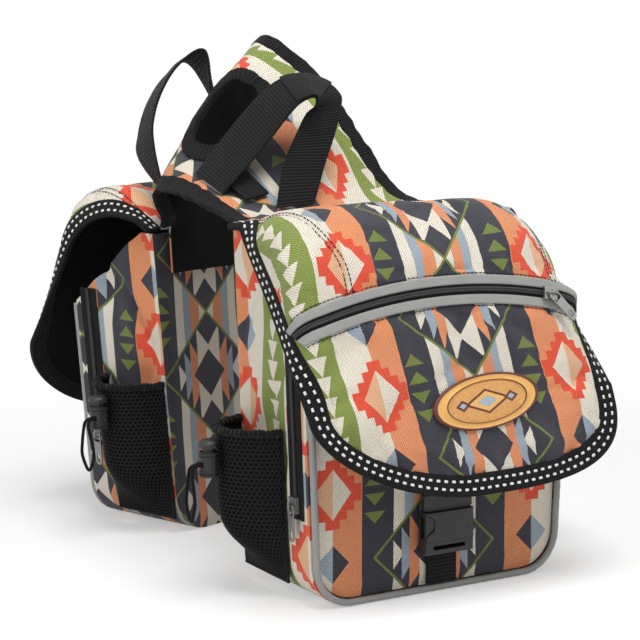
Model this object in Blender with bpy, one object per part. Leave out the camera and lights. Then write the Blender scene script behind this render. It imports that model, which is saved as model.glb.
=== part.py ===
"""Pommel bag: two zipped pouches joined by a yoke that hangs over a saddle horn.

Metres, +Z up. The origin is the centre of the near pouch's flat base. The near
pouch's front faces -Y, and the far pouch stands behind it, turned and leaning.
"""
import math

import bmesh
import bpy
from mathutils import Matrix, Vector

# Clearances
GAP = 0.0003
RUN_GAP = 0.0004

# Pouch bodies
HALF_WIDTH = 0.100
DEPTH = 0.095
SIDE_FLARE = 0.04
CORNER_RADIUS = 0.030
WALL = 0.002
PIPING_RADIUS = 0.0025
GUSSET_BULGE = 0.004
BULGE_RISE = 0.05
BULGE_FRONT = -0.0210
NEAR_HEIGHT = 0.2465
FAR_HEIGHT = 0.2305
NEAR_FRONT_DROP = 0.0780
FAR_FRONT_DROP = 0.0600
TOP_SLOPE_START = 0.028
FAR_CENTRE = (-0.011, 0.251)
FAR_TURN = math.radians(200.0)
FAR_LEAN = 0.07

# Flap, as a centre line from its back seam over the shoulder to its toe
FLAP_SEAM_RISE = 0.0027
FLAP_SEAM_INSET = 0.0026
SHOULDER_Y = -0.0355
NEAR_SHOULDER_RISE = 0.0195
FAR_SHOULDER_RISE = 0.0400
SHOULDER_RADIUS = 0.045
TOE_Y = -0.0895
NEAR_TOE_DROP = 0.1715
FAR_TOE_DROP = 0.1830
LOBE_DROP = 0.1105
FLAP_BACK_HALF = 0.1145
LOBE_HALVES = (0.1206, 0.1300)
TOP_CORNERS = (0.025, 0.074)
FRONT_CORNERS = (0.014, 0.050)
SKIRT_START = (0.030, 0.2525)
SKIRT_EASE = 0.004
FAN_FOCUS = (0.045, 0.12)
CORNER_SPANS = ((0.3, 1.0), (0.6, 1.5))
FLAP_ROW_POWER = 1.25
ZIP_SHELF_CORNER = 0.030
ZIP_SHELF_DROP = 0.008
ZIP_SHELF_HALF = 0.014
FLAP_EDGE_THICK = 0.0024
FLAP_PAD = 0.0030
FLAP_PAD_START = 0.014
FLAP_PAD_FULL = 0.030
LOBE_POWERS = (1.7, 3.2)
NEAR_SKIRT_SHARE = 1.0
FAR_SKIRT_SHARE = 0.42
FAR_FLAP_OPEN = math.radians(8.0)
EDGE_GAP = 0.0008

# Bindings
FLAP_TAPE_WIDTH = 0.0150
FLAP_TAPE_THICK = 0.0040
YOKE_TAPE_WIDTH = 0.0130
YOKE_TAPE_THICK = 0.0044
TAPE_ROUND = 0.0008

# Zips
ZIP_TAPE_HALF = 0.0088
ZIP_TAPE_THICK = 0.0008
COIL_HALF = 0.0022
COIL_HEIGHT = 0.0022
ZIP_CREST_DROP = 0.0385
ZIP_HALF_SPAN = 0.0900
ZIP_LIFT = 0.0005
ZIP_BOW_RADIUS = 0.400
SLIDER_LENGTH = 0.011
SLIDER_SIDE = 0.0018
SLIDER_TOP = 0.0042
BAIL_RADIUS = 0.0007
BAIL_SPAN = 0.0066
BAIL_HEIGHT = 0.0036
PULL_LENGTH = 0.026
PULL_HALF = 0.0040
PULL_THICK = 0.0012
PULL_EYE_LENGTH = 0.0062
PULL_BAR = 0.0014
FLAP_SLIDER_X = 0.080
FLAP_PULL_TURN = math.radians(-38.0)
SIDE_ZIP_Y = -0.0300
SIDE_ZIP_LOW = 0.060
SIDE_ZIP_HIGH = 0.184
SIDE_SLIDER_Z = 0.070
SIDE_PULL_TURN = math.radians(180.0)

# Side mesh pockets
MESH_FRONT_Y = -0.0160
MESH_BACK_Y = 0.0440
MESH_LOW = 0.013
MESH_HIGH = 0.116
MESH_BULGE = 0.028
MESH_THICK = 0.0016

# Draw cords and their locks
CORD_DIAMETER = 0.0024
CORD_PITCH = 0.0030
CORD_Y = 0.014
CORD_Z = 0.094
LOCK_RADIUS = 0.0065
LOCK_LENGTH = 0.0170
LOCK_BORE = 0.0049
LOCK_FLOOR = 0.0016
LOCK_STANDOFF = 0.0012
BUTTON_TRAVEL = 0.0025
BUTTON_RADIUS = 0.0074
BUTTON_HEAD = 0.0024
CORD_STRAIGHT = 0.0170
CORD_DROP = 0.0380
CORD_BEND = 0.0050
CORD_LOOP_HALF = 0.0060

# Buckle and its webbing
WEB_WIDTH = 0.025
WEB_THICK = 0.0015
SOCKET_HALF = 0.0195
SOCKET_LENGTH = 0.0300
SOCKET_THICK = 0.0090
SOCKET_WALL = 0.0016
SOCKET_LOW = 0.0290
BUCKLE_BAR = 0.0032
SLOT_HEIGHT = 0.0028
PLUG_SHOULDER = 0.0110
PRONG_LENGTH = 0.0200
PRONG_HALF = 0.0030
RELEASE_TRAVEL = 0.0220
FLAP_STRAP_TOP = 0.1280
FLAP_STRAP_LOW = 0.0980
FLAP_STRAP_SLACK = 0.0022
FAR_STRAP_HANG = 0.030
FAR_STRAP_TOP = 0.066
FAR_STRAP_PEEL = 0.06

# Badge
BADGE_X = 0.0155
BADGE_DROP = 0.112
BADGE_HALF = (0.0436, 0.0184)
BADGE_THICK = 0.0022
BADGE_TILT = math.radians(5.0)

# Yoke
YOKE_COVER_THICK = 0.0016
YOKE_LINING_THICK = 0.0011
YOKE_LAYER_GAP = 0.0006
YOKE_LIFT = 0.010
HORN_HOLE_CENTRE = (0.47, 0.505)
HORN_HOLE_HALF = (0.200, 0.055)
HORN_HOLE_POWER = 2.6
HOLE_SIDES = 48
HOLE_GAP = 0.0012
HOLE_TOOL_REACH = 0.016
YOKE_FOOT_DROP = 0.030
YOKE_FOOT_HALF = 0.1045
YOKE_STEPS = 54
YOKE_FOOT_STEPS = 6
YOKE_STRIDE = 2
YOKE_COLUMNS = 10

# Grab straps
STRAP_WIDTH = 0.038
STRAP_THICK = 0.0020
PATCH_THICK = 0.0012
FAR_FOOT_LIFT = 0.0012
TAIL_LIFT = 0.0005


def rounded_path(corners, radii, steps):
    """Return the points of a line through corners, with arcs of the given radii at the inner ones."""
    points = [Vector(corners[0])]
    for before, corner, after, radius in zip(corners, corners[1:], corners[2:], radii):
        corner = Vector(corner)
        back = (Vector(before) - corner).normalized()
        ahead = (Vector(after) - corner).normalized()
        half = back.angle(ahead) / 2
        run = radius / math.tan(half)
        centre = corner + (back + ahead).normalized() * (radius / math.sin(half))
        start, end = corner + back * run, corner + ahead * run
        turn = math.pi - 2 * half
        for step in range(steps + 1):
            share = step / steps
            a = math.sin((1 - share) * turn) / math.sin(turn)
            b = math.sin(share * turn) / math.sin(turn)
            points.append(centre + (start - centre) * a + (end - centre) * b)
    points.append(Vector(corners[-1]))
    return points


class Trace:
    """A line read by its own length."""

    def __init__(self, points):
        self.points = [Vector(point) for point in points]
        self.stops = [0.0]
        for here, there in zip(self.points, self.points[1:]):
            self.stops.append(self.stops[-1] + (there - here).length)
        self.length = self.stops[-1]

    def at(self, distance):
        """Return the point and the unit direction at a distance, going straight on past either end."""
        index = 0
        while index < len(self.points) - 2 and self.stops[index + 1] < distance:
            index += 1
        step = self.points[index + 1] - self.points[index]
        share = (distance - self.stops[index]) / step.length
        return self.points[index] + step * share, step.normalized()


def smooth_curve(knots, steps, lead_in=None, lead_out=None):
    """Return points of a smooth curve through the knots, aimed by what comes before and after them."""
    knots = [Vector(knot) for knot in knots]
    before = Vector(lead_in) if lead_in else knots[0] * 2 - knots[1]
    after = Vector(lead_out) if lead_out else knots[-1] * 2 - knots[-2]
    padded = [before] + knots + [after]
    points = []
    for a, b, c, d in zip(padded, padded[1:], padded[2:], padded[3:]):
        for step in range(steps):
            t = step / steps
            points.append((b * 2 + (c - a) * t + (a * 2 - b * 5 + c * 4 - d) * t ** 2
                           + (b * 3 - a - c * 3 + d) * t ** 3) / 2)
    points.append(knots[-1])
    return points


def smoothstep(low, high, value):
    """Return 0 below low, 1 above high and a smooth rise between them."""
    share = min(max((value - low) / (high - low), 0.0), 1.0)
    return share * share * (3 - 2 * share)


def sheet_faces(rows, columns, ring=False):
    """Return vertices' faces for a front and a back grid joined round their borders."""
    def front(row, column):
        return row * columns + column % columns

    def back(row, column):
        return rows * columns + row * columns + column % columns

    faces = []
    spans = columns if ring else columns - 1
    for row in range(rows - 1):
        for column in range(spans):
            nxt = column + 1
            faces.append((front(row, column), front(row, nxt), front(row + 1, nxt), front(row + 1, column)))
            faces.append((back(row, column), back(row + 1, column), back(row + 1, nxt), back(row, nxt)))
    for column in range(spans):
        nxt = column + 1
        last = rows - 1
        faces.append((front(0, column), back(0, column), back(0, nxt), front(0, nxt)))
        faces.append((front(last, column), front(last, nxt), back(last, nxt), back(last, column)))
    if not ring:
        for row in range(rows - 1):
            end = columns - 1
            faces.append((front(row, 0), front(row + 1, 0), back(row + 1, 0), back(row, 0)))
            faces.append((front(row, end), back(row, end), back(row + 1, end), front(row + 1, end)))
    return faces


def sheet(front_rows, back_rows, ring=False):
    """Return the mesh of a thin solid between two grids of points."""
    points = [point for row in front_rows for point in row]
    points += [point for row in back_rows for point in row]
    return points, sheet_faces(len(front_rows), len(front_rows[0]), ring)


def loft(rings, closed=False):
    """Return the mesh of a solid through closed rings, capped at its ends or joined end to start."""
    size = len(rings[0])
    points = [point for ring in rings for point in ring]
    faces = []
    spans = len(rings) if closed else len(rings) - 1
    for span in range(spans):
        here, there = span * size, ((span + 1) % len(rings)) * size
        for index in range(size):
            nxt = (index + 1) % size
            faces.append((here + index, here + nxt, there + nxt, there + index))
    if not closed:
        faces.append(tuple(reversed(range(size))))
        faces.append(tuple(range(len(points) - size, len(points))))
    return points, faces


def circle(radius, sides, centre=(0.0, 0.0)):
    """Return the 2D points of a circle."""
    turns = [2 * math.pi * side / sides for side in range(sides)]
    return [(centre[0] + radius * math.cos(turn), centre[1] + radius * math.sin(turn)) for turn in turns]


def box_ring(low, high):
    """Return the 2D corners of a rectangle, anticlockwise."""
    return [(low[0], low[1]), (high[0], low[1]), (high[0], high[1]), (low[0], high[1])]


def finish(name, colour, roughness, metallic=0.0):
    """Return a Principled material."""
    material = bpy.data.materials.new(name)
    material.use_nodes = True
    shader = material.node_tree.nodes["Principled BSDF"]
    shader.inputs["Base Color"].default_value = (*colour, 1.0)
    shader.inputs["Roughness"].default_value = roughness
    shader.inputs["Metallic"].default_value = metallic
    return material


FINISHES = {
    "print": ((0.62, 0.40, 0.24), 0.80, 0.0),
    "panel_print": ((0.14, 0.15, 0.24), 0.80, 0.0),
    "lining": ((0.020, 0.020, 0.022), 0.85, 0.0),
    "webbing": ((0.025, 0.025, 0.027), 0.70, 0.0),
    "mesh": ((0.018, 0.018, 0.018), 0.90, 0.0),
    "piping": ((0.30, 0.31, 0.31), 0.45, 0.0),
    "zip_tape": ((0.080, 0.085, 0.090), 0.60, 0.0),
    "zip_metal": ((0.42, 0.42, 0.41), 0.35, 1.0),
    "plastic": ((0.030, 0.030, 0.032), 0.35, 0.0),
    "cord": ((0.015, 0.015, 0.015), 0.75, 0.0),
    "badge": ((0.72, 0.48, 0.20), 0.50, 0.0),
}


def add_object(name, mesh_data, finish_name, pivot=(0.0, 0.0, 0.0), parent=None, smooth=True):
    """Add a named object whose origin is at the pivot."""
    points, faces = mesh_data
    pivot = Vector(pivot)
    mesh = bpy.data.meshes.new(name)
    mesh.from_pydata([tuple(Vector(point) - pivot) for point in points], [], faces)
    work = bmesh.new()
    work.from_mesh(mesh)
    bmesh.ops.recalc_face_normals(work, faces=work.faces)
    work.to_mesh(mesh)
    work.free()
    if smooth:
        mesh.shade_smooth()
        mesh.set_sharp_from_angle(angle=math.radians(40))
    item = bpy.data.objects.new(name, mesh)
    bpy.context.collection.objects.link(item)
    item.location = pivot
    item.parent = parent
    item.data.materials.append(finish(name, *FINISHES[finish_name]))
    return item


def combine(target, tool, operation):
    """Join a tool object to the target or cut it away, and drop the tool."""
    tool.hide_render = True
    tool.display_type = "WIRE"
    change = target.modifiers.new("combine", "BOOLEAN")
    change.operation = operation
    change.object = tool
    bpy.context.view_layer.update()
    depsgraph = bpy.context.evaluated_depsgraph_get()
    result = bpy.data.meshes.new_from_object(target.evaluated_get(depsgraph))
    target.modifiers.clear()
    target.data = result
    bpy.data.objects.remove(tool)


class Flap:
    """The flap's surface, read by a = distance across and s = distance along its centre line."""

    def __init__(self, height, shoulder_rise, toe_drop, high_side, skirt_share, opening):
        self.lift = height - NEAR_HEIGHT
        self.high_side = high_side
        self.skirt_share = skirt_share
        self.opening = opening
        toe = (TOE_Y, NEAR_HEIGHT - toe_drop)
        seam = (DEPTH / 2 - FLAP_SEAM_INSET, NEAR_HEIGHT + FLAP_SEAM_RISE)
        shoulder = (SHOULDER_Y, NEAR_HEIGHT + shoulder_rise)
        self.seam = seam
        self.line = Trace(rounded_path([seam, shoulder, toe], [SHOULDER_RADIUS], 9))
        slope = abs((Vector(toe) - Vector(shoulder)).normalized().y)
        self.lobe_depth = (NEAR_HEIGHT - LOBE_DROP - toe[1]) / slope
        self.lobe_start = self.line.length - self.lobe_depth
        self.zip_crest = self.line.length - (NEAR_HEIGHT - ZIP_CREST_DROP - toe[1]) / slope
        self.badge_centre = self.line.length - (NEAR_HEIGHT - BADGE_DROP - toe[1]) / slope
        self.edge_start = Vector(SKIRT_START)
        self.edge_run = self.line.at(self.lobe_start)[0] - self.edge_start

    def fan(self, centre):
        """Return the direction in which the side skirts hang from a centre-line point."""
        return (Vector(FAN_FOCUS) - centre).normalized()

    def skirt_depth(self, s):
        """Return how far the side edge hangs below the centre line's level at s."""
        centre = self.line.at(s)[0]
        fan = self.fan(centre)
        across = Vector((-self.edge_run.y, self.edge_run.x))
        drop = (self.edge_start - centre).dot(across) / fan.dot(across)
        depth = (drop + math.sqrt(drop ** 2 + SKIRT_EASE ** 2)) / 2 * self.skirt_share
        return depth if s < self.lobe_start else 0.0

    def pick(self, pair, a):
        """Return the first of a pair on the flap's high side and the second on its low side."""
        return pair[0] if a * self.high_side > 0 else pair[1]

    def section(self, a, s):
        """Return the corner radius, its turn and the flat half width on the side of a."""
        depth = self.skirt_depth(s)
        share = smoothstep(*self.pick(CORNER_SPANS, a), s / self.zip_crest)
        top, front = self.pick(TOP_CORNERS, a), self.pick(FRONT_CORNERS, a)
        corner = top + (front - top) * share
        beside = (s - self.zip_crest - ZIP_SHELF_DROP) / ZIP_SHELF_HALF
        corner += (min(corner, ZIP_SHELF_CORNER) - corner) * math.exp(-beside ** 2)
        turn = math.acos(1 - min(depth / corner, 1.0))
        return corner, turn, self.half(a, s) - corner * math.sin(turn)

    def half(self, side, s):
        """Return half the flap's width at s, on the side of a."""
        spread = smoothstep(0.4, 1.3, s / self.lobe_start)
        return FLAP_BACK_HALF + (self.pick(LOBE_HALVES, side) - FLAP_BACK_HALF) * spread

    def reach(self, side, s):
        """Return the distance across from the centre line to the side edge."""
        corner, turn, flat = self.section(side, s)
        return flat + corner * turn + max(self.skirt_depth(s) - corner, 0.0)

    def point(self, a, s, out=0.0):
        """Return the point at (a, s), moved out along the surface's normal."""
        centre, along = self.line.at(s)
        normal = Vector((along.y, -along.x))
        fan = self.fan(centre)
        side = -1.0 if a < 0 else 1.0
        corner, full_turn, flat = self.section(a, s)
        rest = abs(a) - flat
        turn = min(max(rest / corner, 0.0), full_turn)
        straight = max(rest - corner * full_turn, 0.0)
        across = min(abs(a), flat) + corner * math.sin(turn) + straight * math.cos(full_turn)
        drop = corner * (1 - math.cos(turn)) + straight * math.sin(full_turn)
        place = centre + fan * drop + normal * (out * math.cos(turn))
        return self.place(Vector((side * (across + out * math.sin(turn)), place.x, place.y)))

    def place(self, point):
        """Turn a point about the seam by the flap's opening and set it at the pouch's height."""
        turn = Matrix.Rotation(-self.opening, 4, "X")
        seam = Vector((0.0, self.seam[0], self.seam[1]))
        return turn @ (point - seam) + seam + Vector((0.0, 0.0, self.lift))

    def lobe_end(self, share, inset):
        """Return how far along s the lobe's edge lies at a share of its half width."""
        power = self.pick(LOBE_POWERS, share)
        rest = 1 - min(abs(share), 1.0) ** power
        return self.lobe_start + (self.lobe_depth - inset) * rest ** (1 / power)

    def padding(self, a, s):
        """Return how far the outer face stands out of the middle surface."""
        side = self.reach(a, s) - abs(a)
        toe = self.lobe_end(a / self.half(a, s), 0.0) - s
        inner = smoothstep(FLAP_PAD_START, FLAP_PAD_FULL, min(side, toe))
        return FLAP_EDGE_THICK / 2 + FLAP_PAD * inner

    def edge(self, inset):
        """Return (a, s) along a line inside the free edge, from one seam end round the toe to the other."""
        rows, turns = 24, 15
        stops = [self.lobe_start * row / rows for row in range(rows)]
        left = [(inset - self.reach(-1, s), s) for s in stops]
        right = [(self.reach(1, s) - inset, s) for s in reversed(stops)]
        lobe = []
        for turn in range(-turns, turns + 1):
            angle = math.pi / 2 * turn / turns
            share = math.copysign(abs(math.sin(angle)) ** (2 / self.pick(LOBE_POWERS, turn)), angle)
            s = self.lobe_end(share, inset)
            lobe.append(((self.reach(turn, s) - inset) * share, s))
        return left + lobe + right


class Pouch:
    """One pouch: where it stands and what differs between the two."""

    def __init__(self, name, height, front_drop, centre, turn, lean, zip_side, flap):
        self.name = name
        self.height = height
        self.front_drop = front_drop
        self.lean = lean
        self.zip_side = zip_side
        self.flap = flap
        self.frame = bpy.data.objects.new(name + "_frame", None)
        bpy.context.collection.objects.link(self.frame)
        self.frame.location = (*centre, 0.0)
        self.frame.rotation_euler = (0.0, 0.0, turn)
        self.matrix = Matrix.Translation((*centre, 0.0)) @ Matrix.Rotation(turn, 4, "Z")

    def leaned(self, point):
        """Return a point of the upright pouch where the pouch leans."""
        return Vector((point[0], point[1] - self.lean * point[2], point[2]))

    def world(self, point):
        """Return a point of the upright pouch in the part's own frame."""
        return self.matrix @ self.leaned(point)

    def add(self, name, mesh_data, finish_name, pivot=(0.0, 0.0, 0.0)):
        """Add one piece of this pouch from points of the upright pouch."""
        points, faces = mesh_data
        moved = [self.leaned(point) for point in points]
        label = self.name + "_" + name
        return add_object(label, (moved, faces), finish_name, self.leaned(pivot), self.frame)

    def side_width(self, z, inset=0.0):
        """Return half the pouch's width at a height."""
        return HALF_WIDTH + SIDE_FLARE * z - inset * math.sqrt(1 + SIDE_FLARE ** 2)

    def top(self, y):
        """Return the height of the pouch's open edge, which falls toward the front."""
        share = min(max((TOP_SLOPE_START - y) / (TOP_SLOPE_START + DEPTH / 2), 0.0), 1.0)
        return self.height - self.front_drop * share

    def outline(self, inset, y):
        """Return the U outline of the pouch seen from its front, as (x, z)."""
        top, low = self.top(y), inset
        corners = [(-self.side_width(top, inset), top), (-self.side_width(low, inset), low),
                   (self.side_width(low, inset), low), (self.side_width(top, inset), top)]
        radius = CORNER_RADIUS - inset
        return rounded_path(corners, [radius, radius], 6)

    def bulge(self, y, z):
        """Return how far a side wall swells at a place."""
        share = math.sin(math.pi * min(max((y - BULGE_FRONT) / (DEPTH / 2 - BULGE_FRONT), 0.0), 1.0))
        return GUSSET_BULGE * share * smoothstep(0.01, BULGE_RISE, z) * (1 - smoothstep(0.12, 0.20, z))

    def side_point(self, side, y, z, out):
        """Return a point outside a side wall."""
        return Vector((side * (self.side_width(z) + self.bulge(y, z) + out), y, z))


def build_body(pouch):
    """Make the gusset strip, the front and back panels and the piping."""
    front, back = -DEPTH / 2, DEPTH / 2
    strip_front = front + PIPING_RADIUS + GAP
    strip_back = back - WALL - GAP
    outer, inner = [], []
    for share in (0.0, 0.12, 0.24, 0.36, 0.48, 0.60, 0.72, 0.86, 1.0):
        y = strip_front + (strip_back - strip_front) * share
        for inset, rows in ((0.0, outer), (WALL, inner)):
            row = []
            for x, z in body_line(pouch, inset, y):
                side = 0.0 if abs(x) < HALF_WIDTH - CORNER_RADIUS else math.copysign(1.0, x)
                row.append(Vector((x + side * pouch.bulge(y, z), y, z)))
            rows.append(row)
    pouch.add("gusset", sheet(outer, inner), "print")
    panel = pouch.outline(2 * PIPING_RADIUS + GAP, front)
    pouch.add("front_panel", loft([[Vector((x, y, z)) for x, z in panel] for y in (front, front + WALL)]),
              "print")
    panel = pouch.outline(0.0, back)
    pouch.add("back_panel", loft([[Vector((x, y, z)) for x, z in panel] for y in (back - WALL, back)]),
              "panel_print")
    build_piping(pouch, front)


def body_line(pouch, inset, y):
    """Return the gusset's line at a depth: down one side, across the base and up the other."""
    path = pouch.outline(inset, y)
    top = pouch.top(y)
    low = CORNER_RADIUS + inset
    heights = [low + (top - low) * share for share in (1.0, 0.72, 0.46, 0.22)]
    left = [Vector((-pouch.side_width(z, inset), z)) for z in heights]
    right = [Vector((-point.x, point.y)) for point in reversed(left)]
    return left + path[1:-1] + right


def build_piping(pouch, y):
    """Make the round piping in the front seam."""
    line = pouch.outline(PIPING_RADIUS, y)
    rings = []
    for index, here in enumerate(line):
        before, after = line[max(index - 1, 0)], line[min(index + 1, len(line) - 1)]
        along = (after - before).normalized()
        across = Vector((-along.y, along.x))
        ring = []
        for c, d in circle(PIPING_RADIUS, 8):
            place = here + across * c
            ring.append(Vector((place.x, y + d, place.y)))
        rings.append(ring)
    pouch.add("piping", loft(rings), "piping")


def flap_column(flap, side, index, s, inset):
    """Return the distance across of one grid column: flat, round the corner, then down the skirt."""
    corner, turn, flat = flap.section(side, s)
    limit = flap.reach(side, s) - inset
    first = min(flat / limit, 0.80)
    second = min(max((flat + corner * turn) / limit, first + 0.02), 0.97)
    if index <= 4:
        share = first * index / 4
    elif index <= 8:
        share = first + (second - first) * (index - 4) / 4
    else:
        share = second + (1 - second) * (index - 8) / 2
    return share * limit


def build_flap(pouch):
    """Make the flap itself: one padded sheet that ends at its edge tape."""
    flap = pouch.flap
    inset = FLAP_TAPE_WIDTH + EDGE_GAP
    rows = 19
    outer, inner = [], []
    for row in range(rows):
        top, low = [], []
        for index in range(-10, 11):
            side = -1 if index < 0 else 1
            limit = flap.reach(side, flap.lobe_start) - inset
            share = flap_column(flap, side, abs(index), flap.lobe_start, inset) / limit
            end = flap.lobe_end(side * share, inset)
            s = GAP + (end - GAP) * (row / (rows - 1)) ** FLAP_ROW_POWER
            a = side * flap_column(flap, side, abs(index), s, inset)
            top.append(flap.point(a, s, flap.padding(a, s)))
            low.append(flap.point(a, s, -FLAP_EDGE_THICK / 2))
        outer.append(top)
        inner.append(low)
    pouch.add("flap", sheet(inner, outer), "print")


def tape_profile(width, thick):
    """Return the cross-section of a folded tape, as shares of its width and heights out."""
    soft = TAPE_ROUND / width
    high = thick / 2
    return [(0.0, -high + TAPE_ROUND), (soft, -high), (1 - soft, -high), (1.0, -high + TAPE_ROUND),
            (1.0, high - TAPE_ROUND), (1 - soft, high), (soft, high), (0.0, high - TAPE_ROUND)]


def tape_rings(place, outer_edge, inner_edge, width, thick, closed):
    """Return the mesh of a tape that runs between two lines on a sheet and stands proud of both faces."""
    rings = []
    for here, there in zip(outer_edge, inner_edge):
        rings.append([place(here[0] + (there[0] - here[0]) * share, here[1] + (there[1] - here[1]) * share, out)
                      for share, out in tape_profile(width, thick)])
    return loft(rings, closed)


def build_flap_binding(pouch):
    """Make the tape folded round the flap's free edge."""
    flap = pouch.flap
    rings = tape_rings(flap.point, flap.edge(0.0), flap.edge(FLAP_TAPE_WIDTH), FLAP_TAPE_WIDTH,
                       FLAP_TAPE_THICK, False)
    pouch.add("flap_binding", rings, "webbing")


def zip_profile():
    """Return the cross-section of a zip: its tapes with the closed coil between them."""
    top = ZIP_TAPE_THICK
    return [(-ZIP_TAPE_HALF, 0.0), (ZIP_TAPE_HALF, 0.0), (ZIP_TAPE_HALF, top), (COIL_HALF, top),
            (COIL_HALF, COIL_HEIGHT), (-COIL_HALF, COIL_HEIGHT), (-COIL_HALF, top), (-ZIP_TAPE_HALF, top)]


def slider_profile():
    """Return the cross-section of a slider that clears the coil and the tape."""
    low = ZIP_TAPE_THICK + RUN_GAP
    roof = COIL_HEIGHT + RUN_GAP
    inner = COIL_HALF + RUN_GAP
    outer = inner + SLIDER_SIDE
    return [(-outer, low), (-inner, low), (-inner, roof), (inner, roof),
            (inner, low), (outer, low), (outer, SLIDER_TOP), (-outer, SLIDER_TOP)]


def build_slider(pouch, name, frame, pull_turn):
    """Make a slider with its bail, and its pull tab hooked under the bail.

    The frame's X runs along the zip, Y across it and Z out of it, from the tape's back face.
    """
    half = SLIDER_LENGTH / 2
    rings = [[frame @ Vector((x, y, z)) for y, z in slider_profile()] for x in (-half, half)]
    slider = pouch.add(name + "_slider", loft(rings), "zip_metal", frame.translation)
    sink = 0.0004
    leg = BAIL_SPAN / 2
    crown = SLIDER_TOP + BAIL_HEIGHT - BAIL_RADIUS
    arch = rounded_path([(-leg, SLIDER_TOP - sink), (-leg, crown), (leg, crown), (leg, SLIDER_TOP - sink)],
                        [0.0014, 0.0014], 3)
    rings = []
    for index, here in enumerate(arch):
        before, after = arch[max(index - 1, 0)], arch[min(index + 1, len(arch) - 1)]
        along = (after - before).normalized()
        across = Vector((-along.y, along.x))
        ring = []
        for c, d in circle(BAIL_RADIUS, 8):
            place = here + across * c
            ring.append(frame @ Vector((place.x, d, place.y)))
        rings.append(ring)
    bail = pouch.add(name + "_bail", loft(rings), "zip_metal", frame.translation)
    combine(slider, bail, "UNION")
    build_pull(pouch, name, frame, pull_turn)


def pull_axis_height():
    """Return the height of the pull's hinge line over the tape's back face."""
    return SLIDER_TOP + (BAIL_HEIGHT - 2 * BAIL_RADIUS) / 2


def build_pull(pouch, name, frame, turn):
    """Make a flat pull tab with an eye at its hinge bar and a slot near its end."""
    pivot = frame @ Vector((0.0, 0.0, pull_axis_height()))
    tilt = frame @ Matrix.Rotation(turn, 4, "Z") @ Matrix.Translation((0.0, 0.0, pull_axis_height()))
    bar = PULL_BAR / 2
    end = PULL_LENGTH - bar
    outer = rounded_path([(PULL_LENGTH / 2, -PULL_HALF), (-bar, -PULL_HALF), (-bar, PULL_HALF),
                          (end, PULL_HALF * 0.8), (end, -PULL_HALF * 0.8), (PULL_LENGTH / 2, -PULL_HALF * 0.9)],
                         [0.0012, 0.0012, 0.0028, 0.0028], 2)[1:-1]
    eye = PULL_HALF - PULL_BAR * 0.8
    hole = rounded_path([(bar + PULL_EYE_LENGTH / 2, -eye), (bar, -eye), (bar, eye), (bar + PULL_EYE_LENGTH, eye),
                         (bar + PULL_EYE_LENGTH, -eye), (bar + PULL_EYE_LENGTH / 2, -eye)],
                        [0.0008, 0.0008, 0.0008, 0.0008], 2)[1:-1]
    rings = []
    for ring, z in ((outer, -PULL_THICK / 2), (outer, PULL_THICK / 2),
                    (hole, PULL_THICK / 2), (hole, -PULL_THICK / 2)):
        rings.append([tilt @ Vector((x, y, z)) for x, y in ring])
    pull = pouch.add(name + "_pull", loft(rings, closed=True), "zip_metal", pivot)
    slot = rounded_path([(end - 0.005, -0.0016), (end - 0.008, -0.0016), (end - 0.008, 0.0016),
                         (end - 0.0025, 0.0016), (end - 0.0025, -0.0016), (end - 0.005, -0.0016)],
                        [0.001, 0.001, 0.001, 0.001], 2)[1:-1]
    rings = [[tilt @ Vector((x, y, z)) for x, y in slot] for z in (-PULL_THICK, PULL_THICK)]
    tool = pouch.add(name + "_slot", loft(rings), "zip_metal", pivot)
    combine(pull, tool, "DIFFERENCE")


def flap_zip_bow(a):
    """Return how far the flap zip drops from its crest at a distance a across."""
    return ZIP_BOW_RADIUS - math.sqrt(ZIP_BOW_RADIUS ** 2 - a ** 2)


def flap_zip_base():
    """Return the height of the flap zip's back face over the flap's middle surface."""
    return FLAP_EDGE_THICK / 2 + FLAP_PAD + ZIP_LIFT


def build_flap_zip(pouch):
    """Make the bowed zip across the flap, its slider and its pull."""
    flap = pouch.flap
    base = flap_zip_base()
    rings = []
    steps = 20
    for step in range(steps + 1):
        a = ZIP_HALF_SPAN * (2 * step / steps - 1)
        tilt = math.asin(a / ZIP_BOW_RADIUS)
        ring = []
        for across, out in zip_profile():
            ring.append(flap.point(a - across * math.sin(tilt), flap.zip_crest + flap_zip_bow(a)
                                   + across * math.cos(tilt), base + out))
        rings.append(ring)
    pouch.add("flap_zip", loft(rings), "zip_tape")
    turn = FLAP_PULL_TURN if pouch.zip_side < 0 else math.pi - FLAP_PULL_TURN
    build_slider(pouch, "flap_zip", flap_zip_frame(flap, -pouch.zip_side * FLAP_SLIDER_X), turn)


def flap_zip_frame(flap, a):
    """Return the frame of a slider at a distance a across the flap."""
    tilt = math.asin(a / ZIP_BOW_RADIUS)
    s = flap.zip_crest + flap_zip_bow(a)
    place = flap.point(a, s, flap_zip_base())
    along = (flap.point(a + 0.001 * math.cos(tilt), s + 0.001 * math.sin(tilt)) - flap.point(a, s)).normalized()
    out = (flap.point(a, s, 0.001) - flap.point(a, s)).normalized()
    across = out.cross(along)
    return Matrix.Translation(place) @ Matrix((along, across, out)).transposed().to_4x4()


def build_side_zip(pouch):
    """Make the upright zip beside the piping, its slider and its pull."""
    side = pouch.zip_side
    rings = []
    for z in (SIDE_ZIP_LOW, SIDE_ZIP_HIGH):
        ring = []
        for across, out in zip_profile():
            y = SIDE_ZIP_Y + across
            ring.append(Vector((side * (pouch.side_width(z) + GAP + out), y, z)))
        rings.append(ring)
    pouch.add("side_zip", loft(rings), "zip_tape")
    build_slider(pouch, "side_zip", side_zip_frame(pouch), SIDE_PULL_TURN)


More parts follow.
